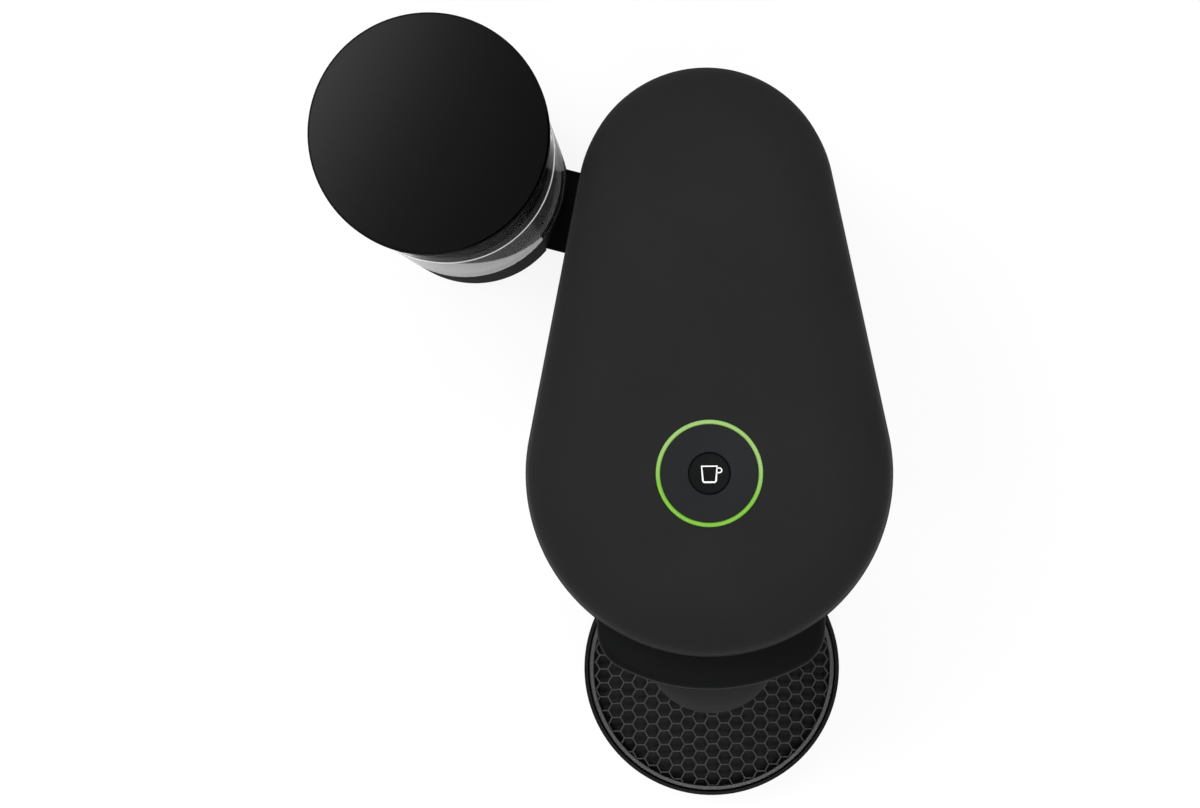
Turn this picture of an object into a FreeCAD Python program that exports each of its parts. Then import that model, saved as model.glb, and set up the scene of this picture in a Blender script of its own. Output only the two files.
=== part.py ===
import FreeCAD, Part
import math
import os
import re
import Sketcher
from FreeCAD import Placement, Rotation, Vector

# Pod coffee machine: a pod is clamped in a spinning bowl under a hinged head.
# Frame: origin on the table under the brew axis, +X right, +Y to the back, +Z up.

# Driving sizes in millimetres and degrees
SIZES = [
    ("head_front_radius", 72.2, "front curve of the head, about the brew axis"),
    ("head_rear_radius", 48.9, "rear curve of the head at its rim"),
    ("head_rear_y", 105.5, "brew axis to the centre of the rear curve"),
    ("head_top", 320.0, "table to the crown of the head"),
    ("head_crown", 1400.0, "radius of the crowned top"),
    ("crown_y", 15.0, "highest line of the crown behind the brew axis"),
    ("head_draft", 4.0, "draft of the head's walls"),
    ("head_round", 26.0, "rounding of the head's top edge"),
    ("head_bevel", 20.0, "bevel inside the head's top edge"),
    ("head_wall", 2.8, "wall of the head cover"),
    ("seam_front", 238.0, "table to the head's rim at the front"),
    ("seam_rise", 34.0, "rise of the rim from front to rear"),
    ("seam_gap", 1.2, "gap between the head and the brew housing"),
    ("frame_lift", 0.4, "head frame above the rim"),
    ("frame_thick", 4.2, "plate of the head frame"),
    ("frame_gap", 0.3, "head frame to the cover's wall"),
    ("hinge_roll", 11.5, "radius of the roll at the head's rear end"),
    ("hinge_gap", 0.5, "roll to its seat in the brew housing"),
    ("hinge_pin_radius", 2.2, "steel hinge pin"),
    ("hinge_half", 14.0, "half width of the middle knuckle"),
    ("ear_thick", 4.2, "hinge ears of the brew housing"),
    ("ear_radius", 4.4, "round end of a hinge ear"),
    ("side_gap", 0.4, "gap beside ears and lugs"),
    ("pin_gap", 0.05, "running fit on a pin or shaft"),
    ("lever_reach", 84.0, "front of the lever from the brew axis"),
    ("lever_radius", 76.0, "front arc of the lever"),
    ("lever_half", 44.4, "half width of the lever"),
    ("lever_corner", 16.0, "corner rounding of the lever"),
    ("lever_lift", 4.6, "underside of the lever above the front rim"),
    ("lever_thick", 8.4, "height of the lever's lip"),
    ("lever_back", 53.0, "rear edge of the lip from the brew axis"),
    ("lever_play", 3.0, "room above the lever in the cover"),
    ("lever_pin_y", 48.0, "lever pin in front of the brew axis"),
    ("lever_pin_radius", 1.8, "lever pin"),
    ("lever_barrel", 4.0, "radius of the lever's pivot barrel"),
    ("lever_barrel_half", 23.0, "half length of the barrel"),
    ("lug_thick", 5.0, "lugs that hold the lever pin"),
    ("ring_outer", 19.85, "outer radius of the light ring"),
    ("ring_inner", 18.3, "inner radius of the light ring"),
    ("ring_proud", 0.3, "light ring above the head's crown"),
    ("ring_depth", 17.0, "depth of the light ring"),
    ("trim_gap", 0.15, "fit of the button trim"),
    ("collar_wall", 2.6, "collar under the head's top"),
    ("disc_sink", 0.4, "button disc below the crown"),
    ("disc_thick", 2.4, "button disc"),
    ("button_radius", 7.65, "brew button"),
    ("button_gap", 0.25, "gap round the brew button"),
    ("button_travel", 1.3, "travel of the brew button"),
    ("spring_radius", 5.0, "button spring, to the middle of its wire"),
    ("spring_wire", 0.45, "half the thickness of the spring's wire"),
    ("board_thick", 1.6, "circuit boards"),
    ("boss_radius", 4.0, "screw bosses in the head cover"),
    ("screw_radius", 1.5, "screw shanks"),
    ("screw_head", 2.9, "screw heads"),
    ("screw_length", 12.0, "screws under the head"),
    ("clamp_radius", 31.5, "rim of the pod clamp"),
    ("clamp_gap", 0.6, "clamp above the bowl's rim"),
    ("clamp_thick", 4.0, "plate of the pod clamp"),
    ("clamp_hub", 6.0, "hub of the pod clamp"),
    ("clamp_bearing_radius", 13.0, "bearing of the pod clamp"),
    ("nozzle_radius", 2.4, "water nozzle"),
    ("nozzle_gap", 0.4, "clamp's bore round the nozzle"),
    ("jaw_front_radius", 68.5, "front curve of the brew housing"),
    ("jaw_rear_radius", 47.0, "rear curve of the brew housing"),
    ("jaw_bottom", 206.0, "table to the underside of the brew housing"),
    ("jaw_round", 7.0, "rounding of the brew housing's lower edge"),
    ("well_radius", 37.0, "well round the bowl"),
    ("well_floor", 212.0, "table to the floor of the well"),
    ("bowl_radius", 33.5, "outside of the pod bowl"),
    ("bowl_rim", 238.0, "table to the bowl's rim"),
    ("bowl_wall", 3.0, "wall of the pod bowl"),
    ("shaft_radius", 4.0, "spin shaft"),
    ("shaft_bearing_radius", 11.0, "bearing of the spin shaft"),
    ("chute_half", 30.0, "half width of the pod chute"),
    ("chute_back", 72.0, "rear wall of the pod chute"),
    ("spout_radius", 29.0, "top of the spout"),
    ("spout_y", 66.8, "centre of the spout's top, in front of the brew axis"),
    ("spout_drop", 26.0, "spout below the brew housing"),
    ("spout_rise", 9.0, "spout in front of the brew housing, above its underside"),
    ("outlet_y", 85.0, "coffee outlet in front of the brew axis"),
    ("outlet_radius", 8.0, "tip of the spout"),
    ("outlet_bore", 4.0, "bore of the coffee outlet"),
    ("column_half", 45.0, "half width of the column"),
    ("column_front", 28.0, "front of the column, in front of the brew axis"),
    ("column_corner", 9.0, "front corners of the column"),
    ("column_wall", 2.8, "wall of the column"),
    ("vent_half", 15.0, "half width of the vents at the rear"),
    ("vent_pitch", 6.0, "pitch of the vents at the rear"),
    ("motor_radius", 23.0, "spin motor"),
    ("motor_height", 52.0, "height of the spin motor"),
    ("bin_half", 39.5, "half width of the pod bin"),
    ("bin_depth", 120.0, "depth of the pod bin"),
    ("bin_height", 117.0, "height of the pod bin"),
    ("bin_wall", 2.2, "wall of the pod bin"),
    ("bin_face", 7.0, "front wall of the pod bin"),
    ("bin_gap", 0.5, "gap round the pod bin"),
    ("grip_radius", 8.0, "finger grips in the bin's front"),
    ("grip_half", 30.0, "half width of the finger grips"),
    ("grip_drop", 16.0, "finger grips below the bin's top"),
    ("rail_half", 12.0, "half width of the guide groove in the bin's front"),
    ("rail_depth", 4.0, "depth of the guide groove"),
    ("rail_gap", 0.3, "fit of the cup support in the groove"),
    ("foot_height", 3.0, "table to the base plate"),
    ("foot_sink", 1.0, "feet let into the base plate"),
    ("base_thick", 5.0, "base plate"),
    ("arm_room", 16.0, "height of the arm's slot"),
    ("deck_thick", 4.0, "deck above the arm's slot"),
    ("slot_front", 58.0, "front wall of the arm's slot behind the brew axis"),
    ("swivel_y", 102.0, "swivel axis behind the brew axis"),
    ("post_radius", 9.0, "swivel post"),
    ("hub_radius", 40.0, "hub of the tank arm"),
    ("arm_gap", 0.4, "tank arm to base and deck"),
    ("arm_width", 36.0, "tank arm"),
    ("arm_length", 108.6, "swivel axis to the tank's axis"),
    ("arm_end_radius", 30.0, "round end of the arm under the tank"),
    ("tank_angle", 165.0, "direction of the arm from +X"),
    ("cradle_bottom", 4.0, "table to the cradle's lower edge"),
    ("cradle_top", 72.0, "table to the cradle's upper edge"),
    ("cradle_bottom_radius", 42.5, "cradle at its lower edge"),
    ("cradle_top_radius", 43.2, "cradle at its upper edge"),
    ("cradle_wall", 2.2, "wall of the cradle"),
    ("cradle_floor", 3.4, "floor of the cradle"),
    ("socket_radius", 10.0, "valve socket in the cradle"),
    ("socket_wall", 2.6, "wall of the valve socket"),
    ("socket_height", 9.0, "height of the valve socket"),
    ("tank_gap", 0.4, "tank in its cradle and its lid"),
    ("tank_top", 277.0, "table to the tank's rim"),
    ("tank_top_radius", 44.5, "tank at its rim"),
    ("tank_line", 188.0, "table to the moulded line round the tank"),
    ("tank_step", 0.5, "step at the moulded line"),
    ("tank_wall", 2.2, "wall of the tank"),
    ("neck_lift", 3.4, "tank's neck above the cradle's floor"),
    ("seat_radius", 4.6, "hole in the valve seat"),
    ("seat_thick", 1.0, "valve seat"),
    ("valve_radius", 5.6, "valve disc"),
    ("lid_radius", 45.9, "tank lid"),
    ("lid_thick", 8.0, "tank lid"),
    ("lid_plug", 5.0, "part of the lid inside the tank"),
    ("lid_round", 0.7, "edge rounding of the lid"),
    ("tray_radius", 57.0, "rim of the cup support"),
    ("tray_y", 87.0, "centre of the cup support, in front of the brew axis"),
    ("tray_rim", 30.0, "table to the rim of the cup support"),
    ("tray_depth", 20.0, "depth of the drip bowl"),
    ("tray_wall", 1.8, "wall of the drip bowl"),
    ("bracket_half", 15.0, "half width of the cup support's bracket"),
    ("bracket_height", 30.0, "bracket above the rim"),
    ("grid_gap", 0.45, "gap between grid and rim"),
    ("grid_frame", 2.0, "frame ring of the grid"),
    ("grid_height", 8.0, "height of the grid's frame ring"),
    ("grid_slope", 0.3, "sloping inner edge of the frame ring"),
    ("rim_bevel", 0.3, "small bevels on the rim and the frame ring"),
    ("bowl_floor", 2.0, "floor of the drip bowl"),
    ("glide_radius", 5.0, "glide feet under the tank"),
    ("glide_ring", 20.0, "tank's axis to the middle of a glide foot"),
    ("grid_sink", 1.2, "mesh below the frame ring"),
    ("grid_thick", 3.0, "mesh of the grid"),
    ("grid_pitch", 6.2, "pitch of the six-sided cells, flat to flat"),
    ("grid_rib", 0.55, "ribs between the cells"),
    ("grid_bite", 0.4, "mesh let into the frame ring"),
    ("cell_least", 1.5, "smallest part of a cell that is left open, in square millimetres"),
]

# Places worked out from the sizes
PLACES = [
    ("head_rear_low", "head_rear_radius + seam_rise * tan(head_draft * 1deg)"),
    ("head_rear", "head_rear_y + head_rear_radius"),
    ("seam_slope", "seam_rise / (head_front_radius + head_rear)"),
    ("seam_axis", "seam_front + head_front_radius * seam_slope"),
    ("cover_in_front", "head_front_radius - head_wall"),
    ("cover_in_rear", "head_rear_low - head_wall"),
    ("frame_front", "cover_in_front - frame_gap"),
    ("frame_rear", "cover_in_rear - frame_gap"),
    ("frame_top", "frame_lift + frame_thick"),
    ("hinge_y", "head_rear - hinge_roll"),
    ("hinge_z", "seam_axis + hinge_y * seam_slope"),
    ("ear_near", "hinge_half + side_gap"),
    ("ear_far", "ear_near + ear_thick"),
    ("lever_bottom", "seam_front + lever_lift"),
    ("lever_top", "lever_bottom + lever_thick"),
    ("lever_pin_z", "lever_top - lever_barrel"),
    ("lug_near", "lever_barrel_half + side_gap"),
    ("lug_far", "lug_near + lug_thick"),
    ("ring_bottom", "head_top + ring_proud - ring_depth"),
    ("collar_in", "ring_outer + trim_gap"),
    ("collar_out", "collar_in + collar_wall"),
    ("disc_radius", "ring_inner - trim_gap"),
    ("disc_top", "head_top - disc_sink"),
    ("disc_bottom", "disc_top - disc_thick"),
    ("board_top", "ring_bottom"),
    ("clamp_bottom", "bowl_rim + clamp_gap"),
    ("clamp_top", "clamp_bottom + clamp_thick"),
    ("clamp_boss_top", "seam_axis + 27"),
    ("clamp_seat", "clamp_boss_top - 13"),
    ("bay_bottom", "jaw_bottom - motor_height - 4"),
    ("base_top", "foot_height + base_thick"),
    ("slot_top", "base_top + arm_room"),
    ("deck_top", "slot_top + deck_thick"),
    ("bin_bottom", "deck_top + bin_gap"),
    ("bin_top", "bin_bottom + bin_height"),
    ("bin_back", "bin_depth - column_front"),
    ("bay_front", "bin_back + bin_gap + column_wall"),
    ("arm_bottom", "base_top + arm_gap"),
    ("arm_top", "slot_top - arm_gap"),
    ("tank_x", "arm_length * cos(tank_angle * 1deg)"),
    ("tank_y", "swivel_y + arm_length * sin(tank_angle * 1deg)"),
    ("cradle_in", "cradle_top_radius - cradle_wall"),
    ("skirt_in", "cradle_bottom_radius - cradle_wall"),
    ("cradle_deck", "arm_top + cradle_floor"),
    ("socket_top", "cradle_deck + socket_height"),
    ("tank_bottom", "socket_top + 1"),
    ("neck_bottom", "cradle_deck + neck_lift"),
    ("seat_top", "neck_bottom + seat_thick"),
    ("spigot", "cradle_in - tank_gap"),
    ("neck_out", "socket_radius - tank_gap"),
    ("neck_in", "neck_out - tank_wall"),
    ("tank_line_radius", "cradle_top_radius + (tank_top_radius - cradle_top_radius)"
                         " * (tank_line - cradle_top) / (tank_top - cradle_top)"),
    ("tray_bottom", "tray_rim - tray_depth"),
    ("tray_in", "tray_radius - tray_wall"),
    ("grid_radius", "tray_in - grid_gap"),
    ("mesh_radius", "grid_radius - grid_frame"),
    ("mesh_top", "tray_rim - grid_sink"),
    ("ledge_top", "tray_rim - grid_height"),
]

FAR = "400"
FIELD = re.compile(r"[a-z][a-z0-9_]*")

doc = FreeCAD.newDocument("PodCoffeeMachine")
size_words = {word for word, _, _ in SIZES}
place_words = {word for word, _ in PLACES}


def linked(formula):
    """Point each known word of a formula at the sheet that holds it."""
    def home(match):
        word = match.group(0)
        if word in size_words:
            return "Sizes." + word
        if word in place_words:
            return "Places." + word
        return word
    return FIELD.sub(home, formula)


def fill_sheets():
    """Write the driving sizes and the places worked out from them."""
    sizes = doc.addObject("Spreadsheet::Sheet", "Sizes")
    for row, (word, value, note) in enumerate(SIZES, 1):
        sizes.set(f"A{row}", word)
        sizes.set(f"B{row}", str(value))
        sizes.set(f"C{row}", note)
        sizes.setAlias(f"B{row}", word)
    doc.recompute()
    places = doc.addObject("Spreadsheet::Sheet", "Places")
    for row, (word, formula) in enumerate(PLACES, 1):
        places.set(f"A{row}", word)
        places.set(f"B{row}", "=" + linked(formula))
        places.setAlias(f"B{row}", word)
        doc.recompute()
    return sizes, places


sizes_sheet, places_sheet = fill_sheets()


def value(word):
    """Current number of a size or place."""
    sheet = sizes_sheet if word in size_words else places_sheet
    return float(sheet.get(word))


def bind(item, prop, formula):
    """Tie a property to the sheets."""
    item.setExpression(prop, linked(formula))


def bind_base(item, at):
    """Tie an object's position to the sheets."""
    for letter, formula in zip("xyz", at):
        bind(item, f"Placement.Base.{letter}", formula)


def sketch_on(owner, name, role, lift="0"):
    """Empty sketch on one of the body's own origin planes."""
    plane = [item for item in owner.Origin.OriginFeatures if item.Role == role][0]
    sketch = owner.newObject("Sketcher::SketchObject", name)
    sketch.AttachmentSupport = (plane, [""])
    sketch.MapMode = "FlatFace"
    bind(sketch, "AttachmentOffset.Base.z", lift)
    return sketch


def fix(sketch, constraint, formula):
    """Add a constraint whose number comes from the sheets."""
    index = sketch.addConstraint(constraint)
    sketch.setExpression(f"Constraints[{index}]", linked(formula))


def polygon(owner, name, role, corners, lift="0"):
    """Closed straight-sided sketch whose corners are formulas."""
    sketch = sketch_on(owner, name, role, lift)
    count = len(corners)
    turn = 2 * math.pi / count
    start = [Vector(math.cos(turn * i), math.sin(turn * i), 0) for i in range(count)]
    lines = [sketch.addGeometry(Part.LineSegment(start[i], start[(i + 1) % count]))
             for i in range(count)]
    for i, line in enumerate(lines):
        sketch.addConstraint(Sketcher.Constraint("Coincident", line, 2, lines[(i + 1) % count], 1))
    for line, point, (across, along) in zip(lines, start, corners):
        fix(sketch, Sketcher.Constraint("DistanceX", -1, 1, line, 1, point.x), across)
        fix(sketch, Sketcher.Constraint("DistanceY", -1, 1, line, 1, point.y), along)
    return sketch


def disc(owner, name, radius, at=("0", "0"), lift="0"):
    """Round sketch in plan."""
    sketch = sketch_on(owner, name, "XY_Plane", lift)
    ring = sketch.addGeometry(Part.Circle(Vector(0, 0, 0), Vector(0, 0, 1), 5))
    fix(sketch, Sketcher.Constraint("Radius", ring, 5), radius)
    fix(sketch, Sketcher.Constraint("DistanceX", -1, 1, ring, 3, 0.0), at[0])
    fix(sketch, Sketcher.Constraint("DistanceY", -1, 1, ring, 3, 0.0), at[1])
    return sketch


def teardrop(owner, name, front, rear, lift):
    """Plan outline: a front and a rear arc joined by their tangent lines."""
    big, small, apart = value(front), value(rear), value("head_rear_y")
    lean = math.asin((big - small) / apart)
    up = Vector(0, 0, 1)

    def rim(radius, along, angle):
        return Vector(radius * math.cos(angle), along + radius * math.sin(angle), 0)

    sketch = sketch_on(owner, name, "XY_Plane", lift)
    nose = sketch.addGeometry(Part.ArcOfCircle(
        Part.Circle(Vector(0, 0, 0), up, big), math.pi - lean, 2 * math.pi + lean))
    tail = sketch.addGeometry(Part.ArcOfCircle(
        Part.Circle(Vector(0, apart, 0), up, small), lean, math.pi - lean))
    right = sketch.addGeometry(Part.LineSegment(rim(big, 0, lean), rim(small, apart, lean)))
    left = sketch.addGeometry(Part.LineSegment(
        rim(small, apart, math.pi - lean), rim(big, 0, math.pi - lean)))
    for first, second in ((nose, right), (right, tail), (tail, left), (left, nose)):
        sketch.addConstraint(Sketcher.Constraint("Tangent", first, 2, second, 1))
    sketch.addConstraint(Sketcher.Constraint("Coincident", nose, 3, -1, 1))
    sketch.addConstraint(Sketcher.Constraint("PointOnObject", tail, 3, -2))
    fix(sketch, Sketcher.Constraint("Radius", nose, big), front)
    fix(sketch, Sketcher.Constraint("Radius", tail, small), rear)
    fix(sketch, Sketcher.Constraint("DistanceY", -1, 1, tail, 3, apart), "head_rear_y")
    return sketch


def bullet(owner, name, half, front, lift):
    """Plan outline of the column: straight sides, flat front and a round rear."""
    wide, back, face = value("column_half"), value("head_rear_y"), -value("column_front")
    corners = [Vector(-wide, face, 0), Vector(wide, face, 0),
               Vector(wide, back, 0), Vector(-wide, back, 0)]
    sketch = sketch_on(owner, name, "XY_Plane", lift)
    fore = sketch.addGeometry(Part.LineSegment(corners[0], corners[1]))
    right = sketch.addGeometry(Part.LineSegment(corners[1], corners[2]))
    tail = sketch.addGeometry(Part.ArcOfCircle(
        Part.Circle(Vector(0, back, 0), Vector(0, 0, 1), wide), 0, math.pi))
    left = sketch.addGeometry(Part.LineSegment(corners[3], corners[0]))
    for kind, first, second in (("Coincident", fore, right), ("Tangent", right, tail),
                                ("Tangent", tail, left), ("Coincident", left, fore)):
        sketch.addConstraint(Sketcher.Constraint(kind, first, 2, second, 1))
    sketch.addConstraint(Sketcher.Constraint("Horizontal", fore))
    sketch.addConstraint(Sketcher.Constraint("Vertical", right))
    sketch.addConstraint(Sketcher.Constraint("PointOnObject", tail, 3, -2))
    fix(sketch, Sketcher.Constraint("Radius", tail, wide), half)
    fix(sketch, Sketcher.Constraint("DistanceY", -1, 1, tail, 3, back), "head_rear_y")
    fix(sketch, Sketcher.Constraint("DistanceY", -1, 1, fore, 1, face), front)
    return sketch


def new_body(name):
    """Empty body."""
    return doc.addObject("PartDesign::Body", name)


def pad(owner, profile, length, draft=None, both_ways=False):
    """Raise a sketch into a solid."""
    feature = owner.newObject("PartDesign::Pad", profile.Name + "_pad")
    feature.Profile = profile
    feature.Midplane = both_ways
    bind(feature, "Length", length)
    if draft:
        bind(feature, "TaperAngle", f"-{draft}")
    return feature


def rounded(owner, feature, radius, choose):
    """Round the chosen edges of a body's feature."""
    doc.recompute()
    names = [f"Edge{i}" for i, edge in enumerate(feature.Shape.Edges, 1) if choose(edge.BoundBox)]
    fillet = owner.newObject("PartDesign::Fillet", feature.Name + "_round")
    fillet.Base = (feature, names)
    bind(fillet, "Radius", radius)
    return fillet


def teardrop_block(name, front, rear, bottom, height, draft=None):
    """Upright block with the teardrop outline."""
    owner = new_body(name)
    pad(owner, teardrop(owner, name + "_outline", front, rear, bottom), height, draft)
    return owner


def bullet_block(name, half, front, bottom, height, corner=None):
    """Upright block with the column's outline."""
    owner = new_body(name)
    feature = pad(owner, bullet(owner, name + "_outline", half, front, bottom), height)
    if corner:
        rounded(owner, feature, corner, lambda box: box.YMax < 0 and box.ZLength > 1)
    return owner


def side_block(name, corners, width=FAR):
    """Block drawn from the side, as wide to the left as to the right."""
    owner = new_body(name)
    pad(owner, polygon(owner, name + "_side", "YZ_Plane", corners), width, both_ways=True)
    return owner


def turned(name, corners, at=("0", "0", "0")):
    """Piece turned about an upright axis from a radius and height profile."""
    owner = new_body(name)
    profile = polygon(owner, name + "_profile", "XZ_Plane", corners)
    spin = owner.newObject("PartDesign::Revolution", name + "_turn")
    spin.Profile = profile
    spin.ReferenceAxis = (profile, ["V_Axis"])
    spin.Angle = 360
    bind_base(owner, at)
    return owner


def box(name, near, far):
    """Block between two opposite corners."""
    item = doc.addObject("Part::Box", name)
    bind_base(item, near)
    for prop, low, high in zip(("Length", "Width", "Height"), near, far):
        bind(item, prop, f"({high}) - ({low})")
    return item


def rod(name, radius, start, length, along="z"):
    """Round bar from a start point along an axis."""
    item = doc.addObject("Part::Cylinder", name)
    turns = {"x": Rotation(Vector(0, 1, 0), 90), "y": Rotation(Vector(1, 0, 0), -90)}
    item.Placement = Placement(Vector(0, 0, 0), turns.get(along, Rotation()))
    bind(item, "Radius", radius)
    bind(item, "Height", length)
    bind_base(item, start)
    return item


def cross_rod(name, radius, half, along_y, height):
    """Round bar along X, centred on the machine's middle plane."""
    return rod(name, radius, (f"-({half})", along_y, height), f"2 * ({half})", "x")


def joined(name, kind, pieces):
    """Union or common part of several objects."""
    item = doc.addObject(kind, name)
    item.Shapes = list(pieces)
    item.Refine = True
    return item


def fuse(name, *pieces):
    """Union of several objects."""
    return joined(name, "Part::MultiFuse", pieces)


def common(name, *pieces):
    """Space that several objects share."""
    return joined(name, "Part::MultiCommon", pieces)


def cut(name, base, *tools):
    """Take tools away from a base."""
    item = doc.addObject("Part::Cut", name)
    item.Base = base
    item.Tool = tools[0] if len(tools) == 1 else fuse(name + "_tools", *tools)
    item.Refine = True
    return item


def softened(name, base, radius, choose, kind="Part::Fillet"):
    """Round or bevel chosen edges of a built-up shape."""
    doc.recompute()
    amount = float(base.evalExpression(linked(radius)))
    item = doc.addObject(kind, name)
    item.Base = base
    item.Edges = [(i, amount, amount) for i, edge in enumerate(base.Shape.Edges, 1)
                  if choose(edge.BoundBox)]
    return item


def seam(along, lift="0"):
    """Height of the sloping rim at a distance behind the brew axis."""
    return f"seam_axis + ({along}) * seam_slope + ({lift})"


def under_seam(name, lift):
    """Everything below a plane beside the sloping rim."""
    return side_block(name, [(f"-{FAR}", seam(f"-{FAR}", lift)), (f"-{FAR}", "0"),
                             (FAR, "0"), (FAR, seam(FAR, lift))])


def over_seam(name, lift):
    """Everything above a plane beside the sloping rim."""
    return side_block(name, [(f"-{FAR}", seam(f"-{FAR}", lift)), (FAR, seam(FAR, lift)),
                             (FAR, "2 * head_top"), (f"-{FAR}", "2 * head_top")])


def mirrored_pair(name, make):
    """Two pieces, one on each side of the middle plane."""
    return fuse(name, make(name + "_right", 1), make(name + "_left", -1))


nodes = {}


def node(name, item):
    """Record a finished piece under its own label."""
    item.Label = name
    nodes[name] = item
    return item


def swung(item):
    """Place a piece drawn along +X from the swivel axis at the arm's rest angle."""
    item.Placement = Placement(Vector(0, 0, 0), Rotation(Vector(0, 0, 1), value("tank_angle")))
    bind(item, "Placement.Rotation.Angle", "tank_angle")
    bind_base(item, ("0", "swivel_y", "0"))
    return item


SCREW_SPOTS = [("42", "12"), ("-42", "12"), ("22", "106"), ("-22", "106")]


def head_dome(name, front, rear, crown, edge, rounded_edge):
    """Drafted teardrop under a crowned top with its upper edge rounded or bevelled."""
    block = teardrop_block(name + "_block", front, rear, "seam_front",
                           "head_top - seam_front + 4", "head_draft")
    crown_bar = rod(name + "_crown", crown, (f"-{FAR} / 2", "crown_y", "head_top - head_crown"),
                    FAR, "x")
    raw = common(name + "_raw", block, crown_bar)
    limit = value("head_top") - 15
    kind = "Part::Fillet" if rounded_edge else "Part::Chamfer"
    return softened(name, raw, edge, lambda edges: edges.ZMin > limit, kind)


def make_head_cover():
    """Outer shell of the head with its collar, screw bosses and lever notch."""
    shell = cut("cover_shell",
                head_dome("cover_outer", "head_front_radius", "head_rear_low",
                          "head_crown", "head_round", True),
                head_dome("cover_inner", "cover_in_front", "cover_in_rear",
                          "head_crown - head_wall", "head_bevel", False))
    collar = rod("cover_collar", "collar_out", ("0", "0", "ring_bottom"),
                 "head_top - head_wall / 2 - ring_bottom")
    posts = [rod(f"cover_boss_{i}", "boss_radius", (x, y, "seam_front"), "head_top - seam_front")
             for i, (x, y) in enumerate(SCREW_SPOTS)]
    bosses = common("cover_bosses",
                    cut("cover_boss_cut", fuse("cover_boss_set", *posts),
                        under_seam("below_frame_top", "frame_top")),
                    head_dome("boss_limit", "cover_in_front", "cover_in_rear",
                              "head_crown - head_wall / 2", "head_bevel", False))
    pilots = [rod(f"cover_pilot_{i}", "screw_radius", (x, y, seam(y, "frame_top - 2")),
                  "screw_length")
              for i, (x, y) in enumerate(SCREW_SPOTS)]
    notch = box("lever_notch", ("-lever_half - side_gap * 2", "-2 * head_front_radius", "0"),
                ("lever_half + side_gap * 2", "-lever_pin_y + lever_barrel + side_gap",
                 "lever_top + lever_play"))
    bore = rod("ring_bore", "collar_in", ("0", "0", "ring_bottom - 1"), "ring_depth + 10")
    return node("head_cover", cut("head_cover", fuse("cover_whole", shell, collar, bosses),
                                  under_seam("below_rim", "0"), notch, bore, *pilots))


def make_head_frame():
    """Plate that closes the head, with clamp boss, lever lugs and hinge roll."""
    inside = teardrop_block("frame_block", "frame_front", "frame_rear", "seam_front",
                            "head_top - seam_front", "head_draft")
    plate = common("frame_plate", inside, over_seam("above_frame_bottom", "frame_lift"),
                   under_seam("below_plate_top", "frame_top"))
    bay = box("lever_bay", ("-lever_half - side_gap * 2", "-2 * head_front_radius", "0"),
              ("lever_half + side_gap * 2", "-lever_pin_y + lever_barrel + side_gap", "head_top"))
    boss = rod("clamp_boss", "clamp_bearing_radius + 4", ("0", "0", "seam_front"),
               "clamp_boss_top - seam_front")
    lugs = mirrored_pair("lever_lugs", lambda name, side: box(
        name,
        ("lug_near" if side > 0 else "-lug_far", "-lever_pin_y - lever_barrel",
         "lever_pin_z - lever_barrel"),
        ("lug_far" if side > 0 else "-lug_near", "-lever_pin_y + 3 * lever_barrel",
         "lever_pin_z + lever_barrel")))
    barrel = cross_rod("hinge_barrel", "hinge_pin_radius + 2.6", "hinge_half", "hinge_y", "hinge_z")
    plan = teardrop_block("roll_plan", "head_front_radius", "head_rear_radius", "jaw_bottom",
                          "head_top - jaw_bottom")
    roll = common("hinge_roll_low", plan, under_seam("below_roll_top", "-frame_lift"),
                  cross_rod("hinge_roll_bar", "hinge_roll", "head_rear_radius", "hinge_y", "hinge_z"))
    bridge = common("hinge_bridge", inside, over_seam("above_bridge", "-seam_gap"),
                    under_seam("below_bridge", "frame_top"),
                    box("hinge_zone", (f"-{FAR}", "hinge_y - hinge_roll * 0.7", "0"),
                        (FAR, FAR, FAR)))
    ear_slots = mirrored_pair("ear_slots", lambda name, side: box(
        name,
        ("ear_near - side_gap" if side > 0 else "-ear_far - side_gap", "hinge_y - hinge_roll - 3",
         "hinge_z - hinge_roll - 3"),
        ("ear_far + side_gap" if side > 0 else "-ear_near + side_gap", FAR,
         "hinge_z + ear_radius + 2")))
    solid = fuse("frame_whole", cut("frame_open", plate, bay), boss, lugs, barrel, roll, bridge)
    holes = [rod(f"frame_hole_{i}", "screw_radius + 0.2", (x, y, "seam_front"), "head_top - seam_front")
             for i, (x, y) in enumerate(SCREW_SPOTS)]
    sinks = [rod(f"frame_sink_{i}", "screw_head + 0.3", (x, y, "seam_front"),
                 f"{seam(y, 'frame_lift + 2')} - seam_front")
             for i, (x, y) in enumerate(SCREW_SPOTS)]
    return node("head_frame", cut(
        "head_frame", solid, ear_slots, *holes, *sinks,
        common("boss_foot", under_seam("below_boss_foot", "frame_lift"),
               box("boss_zone", ("-clamp_radius", "-clamp_radius", "0"),
                   ("clamp_radius", "clamp_radius", "head_top"))),
        rod("clamp_bore", "clamp_hub + 1", ("0", "0", "0"), "head_top"),
        rod("clamp_bearing_seat", "clamp_bearing_radius", ("0", "0", "clamp_seat"), "head_top"),
        cross_rod("hinge_bore", "hinge_pin_radius + pin_gap", "hinge_half + 1", "hinge_y", "hinge_z"),
        cross_rod("lever_bore", "lever_pin_radius", "lug_far + 1", "-lever_pin_y", "lever_pin_z")))


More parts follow.
